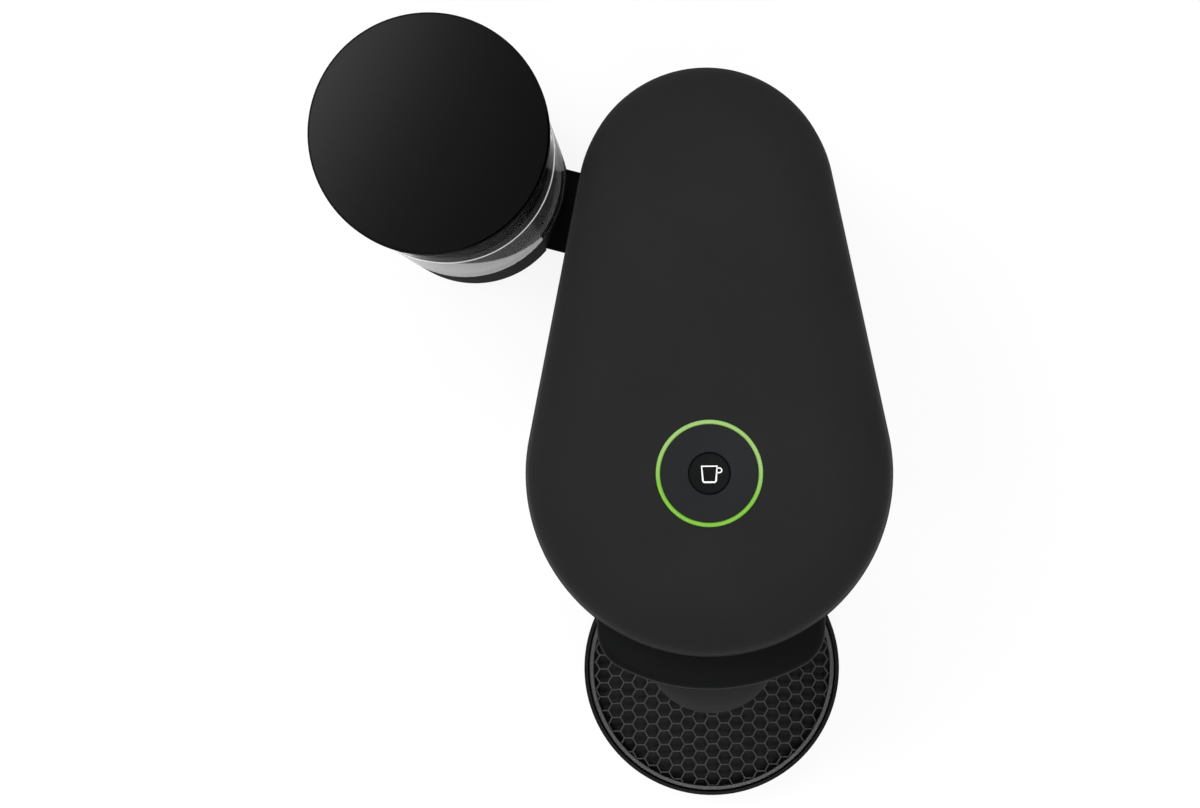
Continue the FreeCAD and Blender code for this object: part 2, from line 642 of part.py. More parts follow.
def make_head_screws():
    """Screws that hold the cover to the head frame."""
    screws = []
    for i, (x, y) in enumerate(SCREW_SPOTS):
        top = seam(y, "frame_lift + 2")
        screws.append(fuse(f"head_screw_{i}",
                           rod(f"head_screw_head_{i}", "screw_head", (x, y, f"{top} - 1.6"), "1.6"),
                           rod(f"head_screw_shank_{i}", "screw_radius", (x, y, top),
                               "screw_length - 3")))
    group = doc.addObject("Part::Compound", "head_screws")
    group.Links = screws
    return node("head_screws", group)


def make_lever():
    """Lip that is pushed down to close the head and up to open it."""
    owner = new_body("lever_lip")
    wide, bend, back = value("lever_half"), value("lever_radius"), value("lever_back")
    middle = bend - value("lever_reach")
    side = math.sqrt(bend ** 2 - wide ** 2) - middle
    swing = math.asin(wide / bend)
    sketch = sketch_on(owner, "lever_outline", "XY_Plane", "lever_bottom")
    rear = sketch.addGeometry(Part.LineSegment(Vector(wide, -back, 0), Vector(-wide, -back, 0)))
    left = sketch.addGeometry(Part.LineSegment(Vector(-wide, -back, 0), Vector(-wide, -side, 0)))
    front = sketch.addGeometry(Part.ArcOfCircle(
        Part.Circle(Vector(0, middle, 0), Vector(0, 0, 1), bend),
        1.5 * math.pi - swing, 1.5 * math.pi + swing))
    right = sketch.addGeometry(Part.LineSegment(Vector(wide, -side, 0), Vector(wide, -back, 0)))
    for first, second in ((rear, left), (left, front), (front, right), (right, rear)):
        sketch.addConstraint(Sketcher.Constraint("Coincident", first, 2, second, 1))
    sketch.addConstraint(Sketcher.Constraint("Horizontal", rear))
    sketch.addConstraint(Sketcher.Constraint("Vertical", left))
    sketch.addConstraint(Sketcher.Constraint("Vertical", right))
    sketch.addConstraint(Sketcher.Constraint("PointOnObject", front, 3, -2))
    fix(sketch, Sketcher.Constraint("DistanceY", -1, 1, front, 3, middle), "lever_radius - lever_reach")
    fix(sketch, Sketcher.Constraint("Radius", front, bend), "lever_radius")
    fix(sketch, Sketcher.Constraint("DistanceX", -1, 1, right, 1, wide), "lever_half")
    fix(sketch, Sketcher.Constraint("DistanceX", -1, 1, left, 1, -wide), "-lever_half")
    fix(sketch, Sketcher.Constraint("DistanceY", -1, 1, rear, 1, -back), "-lever_back")
    lip = pad(owner, sketch, "lever_thick")
    corner_y = -back - 1
    lip = rounded(owner, lip, "lever_corner",
                  lambda edges: edges.ZLength > 1 and edges.YMax < corner_y)
    height = value("lever_bottom") + 1
    rounded(owner, lip, "lever_thick * 0.4",
            lambda edges: edges.ZMin > height and edges.YMin < corner_y)
    barrel = cross_rod("lever_barrel", "lever_barrel", "lever_barrel_half", "-lever_pin_y", "lever_pin_z")
    web = box("lever_web", ("-lever_barrel_half", "-lever_back - 2", "lever_pin_z - lever_barrel * 0.7"),
              ("lever_barrel_half", "-lever_pin_y", "lever_pin_z + lever_barrel * 0.7"))
    slots = mirrored_pair("lever_slots", lambda name, side: box(
        name,
        ("lug_near - side_gap" if side > 0 else "-lug_far - side_gap",
         "-lever_pin_y - lever_barrel - 1.6", "0"),
        ("lug_far + side_gap" if side > 0 else "-lug_near + side_gap", "0", "head_top")))
    bore = cross_rod("lever_pin_bore", "lever_pin_radius + pin_gap", "lever_barrel_half + 1",
                     "-lever_pin_y", "lever_pin_z")
    return node("lever", cut("lever", fuse("lever_whole", owner, barrel, web), slots, bore))


def swept(bends, radius, sides):
    """Bar with a many-sided section along a run of points, mitred at each."""
    turn = 2 * math.pi / sides
    around = [Vector(radius * math.cos(turn * i), radius * math.sin(turn * i), 0)
              for i in range(sides + 1)]
    profile = Part.makePolygon(around)
    profile.Placement = Placement(bends[0], Rotation(Vector(0, 0, 1), bends[1] - bends[0]))
    mitred = 1
    return Part.makePolygon(bends).makePipeShell([profile], True, False, mitred)


def spring_coil(radius, wire, height, turns, steps=14):
    """Coil spring of six-sided wire that rises from z = 0."""
    turn = 2 * math.pi / steps
    count = turns * steps
    bends = [Vector(radius * math.cos(turn * i), radius * math.sin(turn * i), height * i / count)
             for i in range(count + 1)]
    return swept(bends, wire, 6)


def make_button():
    """Light ring, button disc, push button, spring, switch and their board."""
    node("light_ring", turned("light_ring", [
        ("ring_inner", "ring_bottom"), ("ring_outer", "ring_bottom"),
        ("ring_outer", "head_top"), ("ring_outer - ring_proud", "head_top + ring_proud"),
        ("ring_inner + ring_proud", "head_top + ring_proud"), ("ring_inner", "head_top")]))
    hole = "button_radius + button_gap"
    node("button_disc", turned("button_disc", [
        (hole, "disc_bottom"), ("disc_radius - 2", "disc_bottom"), ("disc_radius - 2", "board_top"),
        ("disc_radius", "board_top"), ("disc_radius", "disc_top"), (hole, "disc_top - 0.3")]))
    flange = "disc_bottom - 0.2"
    node("brew_button", turned("brew_button", [
        ("0", "board_top + 5.2"), ("1.6", "board_top + 5.2"), ("1.6", f"{flange} - 1.4"),
        ("button_radius + 1.6", f"{flange} - 1.4"), ("button_radius + 1.6", flange),
        ("button_radius", flange), ("button_radius", "disc_top - 0.4"),
        ("button_radius - 0.5", "disc_top + 0.1"), ("0", "disc_top - 0.3")]))
    node("button_switch", fuse("button_switch",
                               box("switch_case", ("-3.1", "-3.1", "board_top"),
                                   ("3.1", "3.1", "board_top + 3.2")),
                               rod("switch_stem", "1.4", ("0", "0", "board_top + 3"),
                                   "5.2 - 3 - button_travel - 0.2")))
    node("button_board", rod("button_board", "collar_out", ("0", "0", "board_top - board_thick"),
                             "board_thick"))
    coil = doc.addObject("Part::Feature", "button_spring")
    low = value("board_top") + value("spring_wire")
    high = value("disc_bottom") - 0.2 - 1.4 - value("spring_wire")
    coil.Shape = spring_coil(value("spring_radius"), value("spring_wire"), high - low, 5)
    coil.Placement = Placement(Vector(0, 0, low), Rotation())
    node("button_spring", coil)


def make_clamp():
    """Spinning pod clamp, its bearing and clip, and the fixed water nozzle."""
    bore = "nozzle_radius + nozzle_gap"
    node("pod_clamp", turned("pod_clamp", [
        (bore, "clamp_bottom"), ("clamp_radius - 4", "clamp_bottom"),
        ("clamp_radius", "clamp_bottom + 1"), ("clamp_radius", "clamp_top"),
        ("clamp_hub + 4", "clamp_top"), ("clamp_hub", "clamp_top + 4"),
        ("clamp_hub", "clamp_boss_top - 1"), (bore, "clamp_boss_top - 1")]))
    node("clamp_bearing", turned("clamp_bearing", [
        ("clamp_hub + pin_gap", "clamp_seat"), ("clamp_bearing_radius", "clamp_seat"),
        ("clamp_bearing_radius", "clamp_seat + 8"), ("clamp_hub + pin_gap", "clamp_seat + 8")]))
    node("clamp_clip", turned("clamp_clip", [
        ("clamp_hub", "clamp_seat + 8.3"), ("clamp_hub + 2.5", "clamp_seat + 8.3"),
        ("clamp_hub + 2.5", "clamp_seat + 9.5"), ("clamp_hub", "clamp_seat + 9.5")]))
    node("water_nozzle", turned("water_nozzle", [
        ("0.9", "clamp_bottom - 9"), ("1.4", "clamp_bottom - 9"), ("nozzle_radius", "clamp_bottom - 3"),
        ("nozzle_radius", "clamp_boss_top"), ("clamp_bearing_radius + 4", "clamp_boss_top"),
        ("clamp_bearing_radius + 4", "clamp_boss_top + 2.6"), ("3.4", "clamp_boss_top + 2.6"),
        ("3.4", "clamp_boss_top + 14"), ("0.9", "clamp_boss_top + 14")]))


def make_brew_housing():
    """Lower jaw: well for the bowl, pod chute, hinge ears and seat."""
    owner = new_body("jaw_block")
    block = pad(owner, teardrop(owner, "jaw_outline", "jaw_front_radius", "jaw_rear_radius",
                                "jaw_bottom"), "head_top - jaw_bottom")
    floor = value("jaw_bottom") + 0.01
    rounded(owner, block, "jaw_round", lambda edges: edges.ZMax < floor)
    opened = cut(
        "jaw_opened", owner, over_seam("above_jaw", "-seam_gap"),
        rod("bowl_well", "well_radius", ("0", "0", "well_floor"), "head_top"),
        rod("shaft_seat", "shaft_bearing_radius", ("0", "0", "0"), "head_top"),
        box("jaw_chute", ("-chute_half", "shaft_bearing_radius * 2", "well_floor"),
            ("chute_half", "chute_back", "head_top")),
        box("jaw_chute_low", ("-chute_half", "well_radius + 1", "0"),
            ("chute_half", "chute_back", "head_top")),
        rod("jaw_rear_bay", "(head_rear - chute_back) / 2 - 11",
            ("0", "(head_rear + chute_back) / 2 - 8", "0"), "hinge_z - hinge_roll - 8"),
        cross_rod("roll_seat", "hinge_roll + hinge_gap", "head_front_radius", "hinge_y", "hinge_z"),
        box("rear_trim", (f"-{FAR}", "hinge_y", "hinge_z - hinge_roll + 1.5"), (FAR, FAR, FAR)))
    ears = mirrored_pair("jaw_ears", lambda name, side: fuse(
        name,
        rod(name + "_end", "ear_radius", ("ear_near" if side > 0 else "-ear_far", "hinge_y", "hinge_z"),
            "ear_thick", "x"),
        box(name + "_stem",
            ("ear_near" if side > 0 else "-ear_far", "hinge_y - ear_radius", "hinge_z - hinge_roll - 3"),
            ("ear_far" if side > 0 else "-ear_near", "hinge_y + ear_radius", "hinge_z"))))
    node("brew_housing", cut("brew_housing", fuse("jaw_whole", opened, ears),
                             cross_rod("jaw_pin_bore", "hinge_pin_radius", "ear_far + 1",
                                       "hinge_y", "hinge_z")))
    node("hinge_pin", cross_rod("hinge_pin", "hinge_pin_radius", "ear_far", "hinge_y", "hinge_z"))
    node("lever_pin", cross_rod("lever_pin", "lever_pin_radius", "lug_far", "-lever_pin_y",
                                "lever_pin_z"))


def make_spin_drive():
    """Pod bowl, coffee collector, spin shaft, bearing and motor."""
    inner = "bowl_radius - bowl_wall"
    low = "well_floor + 2.6"
    node("pod_bowl", turned("pod_bowl", [
        ("0", f"{low} + 2.4"), ("shaft_radius", f"{low} + 2.4"), ("shaft_radius", low),
        (f"{inner} - 5", low), ("bowl_radius", f"{low} + 9"), ("bowl_radius", "bowl_rim"),
        (inner, "bowl_rim"), (inner, f"{low} + 10.5"), (f"{inner} - 6", f"{low} + 4"),
        ("0", f"{low} + 4")]))
    node("coffee_collector", turned("coffee_collector", [
        ("shaft_bearing_radius", "well_floor"), ("well_radius", "well_floor"),
        ("well_radius", "well_floor + 9"), ("well_radius - 1.5", "well_floor + 9"),
        ("well_radius - 1.5", "well_floor + 1.5"), ("shaft_bearing_radius", "well_floor + 1.5")]))
    base = "bay_bottom + 4"
    node("spin_shaft", rod("spin_shaft", "shaft_radius", ("0", "0", f"{base} + 0.3"),
                           f"{low} + 2.4 - ({base}) - 0.3"))
    node("shaft_bearing", turned("shaft_bearing", [
        ("shaft_radius + pin_gap", "jaw_bottom"), ("shaft_bearing_radius", "jaw_bottom"),
        ("shaft_bearing_radius", "well_floor"), ("shaft_radius + pin_gap", "well_floor")]))
    node("spin_motor", turned("spin_motor", [
        ("0", "bay_bottom"), ("motor_radius", "bay_bottom"),
        ("motor_radius", "bay_bottom + motor_height"), ("14", "bay_bottom + motor_height"),
        ("14", "jaw_bottom"), ("shaft_bearing_radius", "jaw_bottom"),
        ("shaft_bearing_radius", "jaw_bottom - 2"), ("shaft_radius + 0.3", "jaw_bottom - 2"),
        ("shaft_radius + 0.3", base), ("0", base)]))


def make_spout():
    """Nose under the brew housing that lets the coffee out."""
    owner = new_body("spout_body")
    top = disc(owner, "spout_top", "spout_radius", ("0", "-spout_y"), "jaw_bottom + spout_rise")
    tip = disc(owner, "spout_tip", "outlet_radius", ("0", "-outlet_y"), "jaw_bottom - spout_drop")
    loft = owner.newObject("PartDesign::AdditiveLoft", "spout_loft")
    loft.Profile = top
    loft.Sections = [tip]
    level = value("jaw_bottom")
    rounded(owner, loft, "spout_rise * 0.4", lambda edges: edges.ZMin > level)
    behind = teardrop_block("spout_behind", "jaw_front_radius", "jaw_rear_radius", "jaw_bottom",
                            "head_top - jaw_bottom")
    return node("coffee_spout", cut("coffee_spout", owner, behind, rod(
        "outlet_hole", "outlet_bore", ("0", "-outlet_y", "0"), "jaw_bottom - spout_drop / 3")))


def make_column():
    """Column shell with bin chamber, motor bay, chute and rear bay."""
    outer = bullet_block("column_block", "column_half", "-column_front", "base_top",
                         "jaw_bottom - base_top", "column_corner")
    inner_half = "column_half - column_wall"
    top = "jaw_bottom + 1"
    bosses = [rod(f"column_boss_{i}", "boss_radius", (x, y, "base_top"), "arm_room + deck_thick / 2")
              for i, (x, y) in enumerate(BASE_SPOTS)]
    pilots = [rod(f"column_pilot_{i}", "screw_radius", (x, y, "0"), "slot_top - 2")
              for i, (x, y) in enumerate(BASE_SPOTS)]
    vents = [box(f"vent_{i}", ("-vent_half", "head_rear_y + column_half - 12",
                               f"bay_bottom + {i} * vent_pitch"),
                 ("vent_half", FAR, f"bay_bottom + {i} * vent_pitch + vent_pitch * 0.4"))
             for i in range(6)]
    hollowed = cut(
        "column_hollowed", outer,
        box("arm_slot", (f"-{FAR}", "slot_front", "0"), (FAR, FAR, "slot_top")),
        box("under_deck", (f"-({inner_half})", "-column_front + column_wall", "0"),
            (inner_half, "slot_front - column_wall", "slot_top")),
        box("bin_chamber", ("-bin_half - bin_gap", f"-{FAR}", "deck_top"),
            ("bin_half + bin_gap", "bin_back + bin_gap", "bin_top + bin_gap")),
        box("motor_bay", (f"-({inner_half})", "-column_front + column_wall", "bay_bottom"),
            (inner_half, "well_radius - 4", top)),
        box("column_chute", ("-chute_half", "well_radius + 1", "bin_top"),
            ("chute_half", "chute_back", top)),
        bullet_block("rear_bay", inner_half, "bay_front", "deck_top", "jaw_bottom"),
        box("upper_bay", (f"-({inner_half})", "chute_back + column_wall", "bay_bottom"),
            (inner_half, "bay_front + 1", top)),
        rod("gland_hole", "5", ("0", "head_rear_y", "deck_top + 22"), FAR, "y"),
        rod("post_hole", "post_radius", ("0", "swivel_y", "0"), "deck_top"), *vents)
    node("column_shell", cut("column_shell", fuse("column_whole", hollowed, *bosses), *pilots))
    rear = "head_rear_y + column_half"
    node("cord_gland", cut(
        "cord_gland",
        fuse("gland_whole",
             rod("gland_body", "5", ("0", f"{rear} - column_wall - 3", "deck_top + 22"),
                 "column_wall + 6", "y"),
             rod("gland_flange", "8", ("0", f"{rear}", "deck_top + 22"), "3", "y")),
        rod("gland_bore", "3", ("0", "head_rear_y", "deck_top + 22"), FAR, "y")))


BASE_SPOTS = [("34", "-15"), ("-34", "-15"), ("34", "42"), ("-34", "42")]
FEET = [("34", "8", "0"), ("20", "7", "126")]


def make_base():
    """Base plate, rubber feet, swivel post and screws."""
    plate = bullet_block("base_block", "column_half", "-column_front", "foot_height", "base_thick",
                         "column_corner")
    pads, wells = [], []
    for i, (half_x, half_y, along) in enumerate(FEET):
        pads.append(box(f"foot_{i}", (f"-{half_x}", f"{along} - {half_y}", "0"),
                        (half_x, f"{along} + {half_y}", "foot_height + foot_sink")))
        wells.append(box(f"foot_well_{i}", (f"-{half_x}", f"{along} - {half_y}", "0"),
                         (half_x, f"{along} + {half_y}", "foot_height + foot_sink")))
    sink = "foot_height + base_thick * 0.6"
    holes = [rod(f"base_hole_{i}", "screw_radius + 0.2", (x, y, "0"), FAR)
             for i, (x, y) in enumerate(BASE_SPOTS)]
    sinks = [rod(f"base_sink_{i}", "screw_head + 0.3", (x, y, "0"), sink)
             for i, (x, y) in enumerate(BASE_SPOTS)]
    node("base_plate", cut("base_plate", plate, *wells, *holes, *sinks,
                           rod("post_foot", "post_radius", ("0", "swivel_y", "0"), FAR)))
    screws = [fuse(f"base_screw_{i}",
                   rod(f"base_screw_head_{i}", "screw_head", (x, y, f"{sink} - 1.8"), "1.8"),
                   rod(f"base_screw_shank_{i}", "screw_radius", (x, y, sink), "screw_length"))
              for i, (x, y) in enumerate(BASE_SPOTS)]
    group = doc.addObject("Part::Compound", "base_screws")
    group.Links = screws
    node("base_screws", group)
    feet = doc.addObject("Part::Compound", "rubber_feet")
    feet.Links = pads
    node("rubber_feet", feet)
    node("swivel_post", turned("swivel_post", [
        ("4", "foot_height"), ("post_radius", "foot_height"), ("post_radius", "deck_top"),
        ("4", "deck_top")], ("0", "swivel_y", "0")))


def make_bin():
    """Drawer for used pods with the guide groove of the cup support."""
    whole = box("bin_block", ("-bin_half", "-column_front", "bin_bottom"),
                ("bin_half", "bin_back", "bin_top"))
    inside = box("bin_inside", ("-bin_half + bin_wall", "-column_front + bin_face", "bin_bottom + bin_wall"),
                 ("bin_half - bin_wall", "bin_back - bin_wall", FAR))
    groove = box("bin_groove", ("-rail_half", f"-{FAR}", "tray_rim + 3"),
                 ("rail_half", "-column_front + rail_depth", FAR))
    grips = rod("bin_grips", "grip_radius", ("-grip_half", "-column_front - grip_radius / 2",
                                             "bin_top - grip_drop"), "grip_half * 2", "x")
    return node("pod_bin", cut("pod_bin", whole, inside, groove, grips))


def make_cup_support():
    """Round drip bowl on a bracket that slides in the bin's groove."""
    bowl = turned("drip_bowl", [
        ("0", "tray_bottom"), ("tray_radius - 3", "tray_bottom"), ("tray_radius", "tray_bottom + 5"),
        ("tray_radius", "tray_rim - rim_bevel * 2"), ("tray_radius - rim_bevel * 2", "tray_rim"),
        ("tray_in + rim_bevel", "tray_rim"), ("tray_in", "tray_rim - rim_bevel"),
        ("tray_in", "ledge_top"), ("tray_in - 2", "ledge_top"), ("tray_in - 2", "tray_bottom + bowl_floor"),
        ("0", "tray_bottom + bowl_floor")], ("0", "-tray_y", "0"))
    plate = box("bracket_plate", ("-bracket_half", "-tray_y + tray_in", "tray_bottom + 4"),
                ("bracket_half", "-column_front - rail_gap * 2", "tray_rim + bracket_height"))
    tongue = box("bracket_tongue",
                 ("-rail_half + rail_gap", "-tray_y + tray_in", "tray_rim + 3"),
                 ("rail_half - rail_gap", "-column_front + rail_depth - rail_gap",
                  "tray_rim + bracket_height"))
    clear = rod("bowl_clear", "tray_in", ("0", "-tray_y", "ledge_top"), FAR)
    return node("cup_support", fuse("cup_support", bowl, cut("bracket_cut", fuse(
        "bracket", plate, tongue), clear)))


def cell_wire(centre, radius):
    """Outline of one six-sided cell with corners to the left and right."""
    corners = [centre + Vector(radius * math.cos(math.radians(60 * i)),
                               radius * math.sin(math.radians(60 * i)), 0) for i in range(7)]
    return Part.makePolygon(corners)


def make_grid():
    """Grid of six-sided cells in a frame ring."""
    reach, pitch, bite = value("mesh_radius"), value("grid_pitch"), value("grid_bite")
    hollow = (pitch - value("grid_rib")) / math.sqrt(3)
    across = pitch * math.sqrt(3) / 2
    columns = int(reach / across) + 1
    rows = int(reach / pitch) + 1
    field = Part.Face(Part.Wire(Part.makeCircle(reach + bite / 2)))
    holes = []
    for column in range(-columns, columns + 1):
        for row in range(-rows, rows + 1):
            centre = Vector(column * across, (row + 0.5 * (column % 2)) * pitch, 0)
            if centre.Length > reach + pitch:
                continue
            cell = cell_wire(centre, hollow)
            if centre.Length + hollow < reach:
                holes.append(cell)
                continue
            trimmed = Part.Face(cell).common(field)
            holes += [face.OuterWire for face in trimmed.Faces if face.Area > value("cell_least")]
    sheet = Part.Face(Part.Wire(Part.makeCircle(reach + bite)))
    mesh = sheet.cut(Part.Compound([Part.Face(hole) for hole in holes]))
    item = doc.addObject("Part::Feature", "grid_mesh")
    item.Shape = mesh.Faces[0].extrude(Vector(0, 0, -value("grid_thick")))
    item.Placement = Placement(Vector(0, -value("tray_y"), value("mesh_top")), Rotation())
    frame = turned("grid_ring", [
        ("mesh_radius", "ledge_top"), ("grid_radius", "ledge_top"),
        ("grid_radius", "tray_rim - rim_bevel"), ("grid_radius - rim_bevel", "tray_rim"),
        ("mesh_radius + grid_slope", "tray_rim"),
        ("mesh_radius", "tray_rim - grid_slope")], ("0", "-tray_y", "0"))
    return node("drip_grid", fuse("drip_grid", frame, item))


def make_tank_arm():
    """Swivel arm, tank cradle and glide feet."""
    hub = rod("arm_hub", "hub_radius", ("0", "0", "arm_bottom"), "arm_top - arm_bottom")
    beam = box("arm_beam", ("0", "-arm_width / 2", "arm_bottom"), ("arm_length", "arm_width / 2", "arm_top"))
    end = rod("arm_end", "arm_end_radius", ("arm_length", "0", "arm_bottom"), "arm_top - arm_bottom")
    bore = rod("arm_bore", "post_radius + pin_gap", ("0", "0", "0"), FAR)
    spots = [(f"arm_length + glide_ring * cos({120 * i + 60} * 1deg)",
              f"glide_ring * sin({120 * i + 60} * 1deg)", "0") for i in range(3)]
    pads = [rod(f"glide_well_{i}", "glide_radius", spot, "arm_bottom + foot_sink")
            for i, spot in enumerate(spots)]
    node("tank_arm", swung(cut("tank_arm", fuse("arm_whole", hub, beam, end), bore, *pads)))
    glides = [rod(f"glide_{i}", "glide_radius", spot, "arm_bottom + foot_sink")
              for i, spot in enumerate(spots)]
    node("tank_glides", swung(fuse("tank_glides", *glides)))
    cup = turned("cradle_cup", [
        ("0", "arm_top"), ("skirt_in", "arm_top"), ("skirt_in", "cradle_bottom"),
        ("cradle_bottom_radius", "cradle_bottom"), ("cradle_top_radius", "cradle_top"),
        ("cradle_in", "cradle_top"), ("cradle_in", "cradle_deck"),
        ("socket_radius + socket_wall", "cradle_deck"), ("socket_radius + socket_wall", "socket_top"),
        ("socket_radius", "socket_top"), ("socket_radius", "cradle_deck"),
        ("2", "cradle_deck"), ("2", "neck_bottom - 0.4"), ("0", "neck_bottom - 0.4")],
        ("arm_length", "0", "0"))
    gate = box("arm_gate", ("0", "-arm_width / 2 - arm_gap", "0"),
               ("arm_length", "arm_width / 2 + arm_gap", "arm_top"))
    node("tank_cradle", swung(cut("tank_cradle", cup, gate)))
    node("valve_seal", turned("valve_seal", [
        ("neck_in", "cradle_deck"), ("socket_radius", "cradle_deck"),
        ("socket_radius", "neck_bottom"), ("neck_in", "neck_bottom")], ("tank_x", "tank_y", "0")))


def make_tank():
    """Clear tank, outlet valve and lid."""
    at = ("tank_x", "tank_y", "0")
    node("water_tank", turned("water_tank", [
        ("seat_radius", "neck_bottom"), ("neck_out", "neck_bottom"), ("neck_out", "tank_bottom"),
        ("spigot", "tank_bottom"), ("spigot", "cradle_top"), ("cradle_top_radius", "cradle_top"),
        ("tank_line_radius", "tank_line"), ("tank_line_radius - tank_step", "tank_line + tank_step"),
        ("tank_top_radius - tank_step", "tank_top"),
        ("tank_top_radius - tank_step - tank_wall", "tank_top"),
        ("tank_line_radius - tank_step - tank_wall", "tank_line"),
        ("cradle_top_radius - tank_wall", "cradle_top + 2"), ("spigot - tank_wall", "cradle_top - 1"),
        ("spigot - tank_wall", "tank_bottom + tank_wall"), ("neck_in", "tank_bottom + tank_wall"),
        ("neck_in", "seat_top"), ("seat_radius", "seat_top")], at))
    node("tank_valve", turned("tank_valve", [
        ("0", "neck_bottom - 0.2"), ("1.5", "neck_bottom - 0.2"), ("1.5", "seat_top"),
        ("valve_radius", "seat_top"), ("valve_radius", "seat_top + 2"), ("1.5", "seat_top + 2"),
        ("1.5", "tank_bottom + tank_wall + 6"), ("0", "tank_bottom + tank_wall + 6")], at))
    rim = "tank_top_radius - tank_step - tank_wall - tank_gap"
    roof = "tank_top + lid_thick - tank_wall"
    node("tank_lid", turned("tank_lid", [
        ("0", roof), (f"{rim} - tank_wall", roof), (f"{rim} - tank_wall", "tank_top - lid_plug"),
        (rim, "tank_top - lid_plug"), (rim, "tank_top"), ("lid_radius", "tank_top"),
        ("lid_radius", "tank_top + lid_thick - lid_round"),
        ("lid_radius - lid_round", "tank_top + lid_thick"), ("0", "tank_top + lid_thick")], at))


def make_insides():
    """Pump, heater, flow meter and main board in the rear bay."""
    floor = "deck_top"
    node("water_pump", fuse(
        "water_pump",
        rod("pump_case", "16", ("-19", "bay_front + 17", floor), "58"),
        rod("pump_outlet", "3", ("-19", "bay_front + 17", floor), "72")))
    node("heater_block", fuse(
        "heater_block",
        box("heater_case", ("2", "bay_front + 2", floor), ("36", "bay_front + 30", f"{floor} + 64")),
        rod("heater_port", "3", ("19", "bay_front + 17", floor), "74")))
    node("flow_meter", rod("flow_meter", "9", ("-19", "bay_front + 17", f"{floor} + 72"), "10"))
    rise = value("deck_top") + 90
    along = value("bay_front") + 17
    run = [Vector(-19, along, value("deck_top") + 82), Vector(-19, along, rise)]
    run += [Vector(-19 * math.cos(math.pi * i / 10), along, rise + 19 * math.sin(math.pi * i / 10))
            for i in range(1, 10)]
    run += [Vector(19, along, rise), Vector(19, along, value("deck_top") + 74)]
    hose = doc.addObject("Part::Feature", "pressure_hose")
    hose.Shape = swept(run, 3, 10)
    node("pressure_hose", hose)
    node("main_board", box("main_board", ("-36", "bay_front", f"{floor} + 86"),
                           ("36", "bay_front + board_thick", "jaw_bottom - 6")))


def check_and_write():
    """Stop on any failed object, then write one file for each piece."""
    doc.recompute()
    failed = [item.Name for item in doc.Objects
              if any(word in state for state in item.State for word in ("Invalid", "Error"))]
    if failed:
        raise RuntimeError(f"failed objects: {failed}")
    for name, item in nodes.items():
        shape = item.Shape
        if shape.isNull() or not shape.isValid() or not shape.Solids:
            raise RuntimeError(f"bad shape: {name}")
    os.makedirs("parts", exist_ok=True)
    for name, item in nodes.items():
        item.Shape.exportStep(f"parts/{name}.step")
        print(f"{name}: {len(item.Shape.Solids)} solids, {item.Shape.Volume / 1000:.1f} cm3")


make_head_cover()
make_head_frame()
make_head_screws()
make_lever()
make_button()
make_clamp()
make_brew_housing()
make_spin_drive()
make_spout()
make_column()
make_base()
make_bin()
make_cup_support()
make_grid()
make_tank_arm()
make_tank()
make_insides()
check_and_write()
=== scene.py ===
"""Looks of a pod coffee machine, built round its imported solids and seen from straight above."""

import logging
import math
from dataclasses import dataclass
from enum import Enum

import bmesh
import bpy
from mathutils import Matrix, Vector


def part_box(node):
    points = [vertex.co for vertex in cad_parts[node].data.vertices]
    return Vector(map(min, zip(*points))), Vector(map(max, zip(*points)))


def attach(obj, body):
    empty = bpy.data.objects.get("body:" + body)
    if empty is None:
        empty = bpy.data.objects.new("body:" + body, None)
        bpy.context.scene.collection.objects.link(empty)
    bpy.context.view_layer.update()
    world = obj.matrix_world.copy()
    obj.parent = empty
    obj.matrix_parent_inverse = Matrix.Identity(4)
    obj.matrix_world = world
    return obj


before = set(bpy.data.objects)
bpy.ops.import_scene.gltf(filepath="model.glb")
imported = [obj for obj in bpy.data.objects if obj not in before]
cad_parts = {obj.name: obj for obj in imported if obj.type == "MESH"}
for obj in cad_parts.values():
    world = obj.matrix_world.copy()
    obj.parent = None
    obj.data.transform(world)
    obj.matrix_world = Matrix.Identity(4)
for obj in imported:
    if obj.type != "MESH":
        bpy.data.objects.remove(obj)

LOG = logging.getLogger("coffee_machine")
MM = 0.001
PHOTO_WIDTH = 1200
# Widths over which one band of a finish passes into the next.
SEAM = 0.4 * MM
FINE_SEAM = 0.3 * MM
# Depth to which a raised line reaches into the surface below it.
RIBBON_ROOT = 0.05 * MM
# Range in which most noise values lie.
NOISE_LOW, NOISE_HIGH = 0.3, 0.7

Colour = tuple[float, float, float]
Direction = tuple[float, float, float]
Plan = tuple[float, float]

UP: Direction = (0.0, 0.0, 1.0)
WHITE = (1.0, 1.0, 1.0, 1.0)


class Sharpness(Enum):
    """How crisp the edges of a moulded or machined piece are, in metres."""

    CRISP = 0.00015
    MOULDED = 0.0004
    SOFT = 0.0008


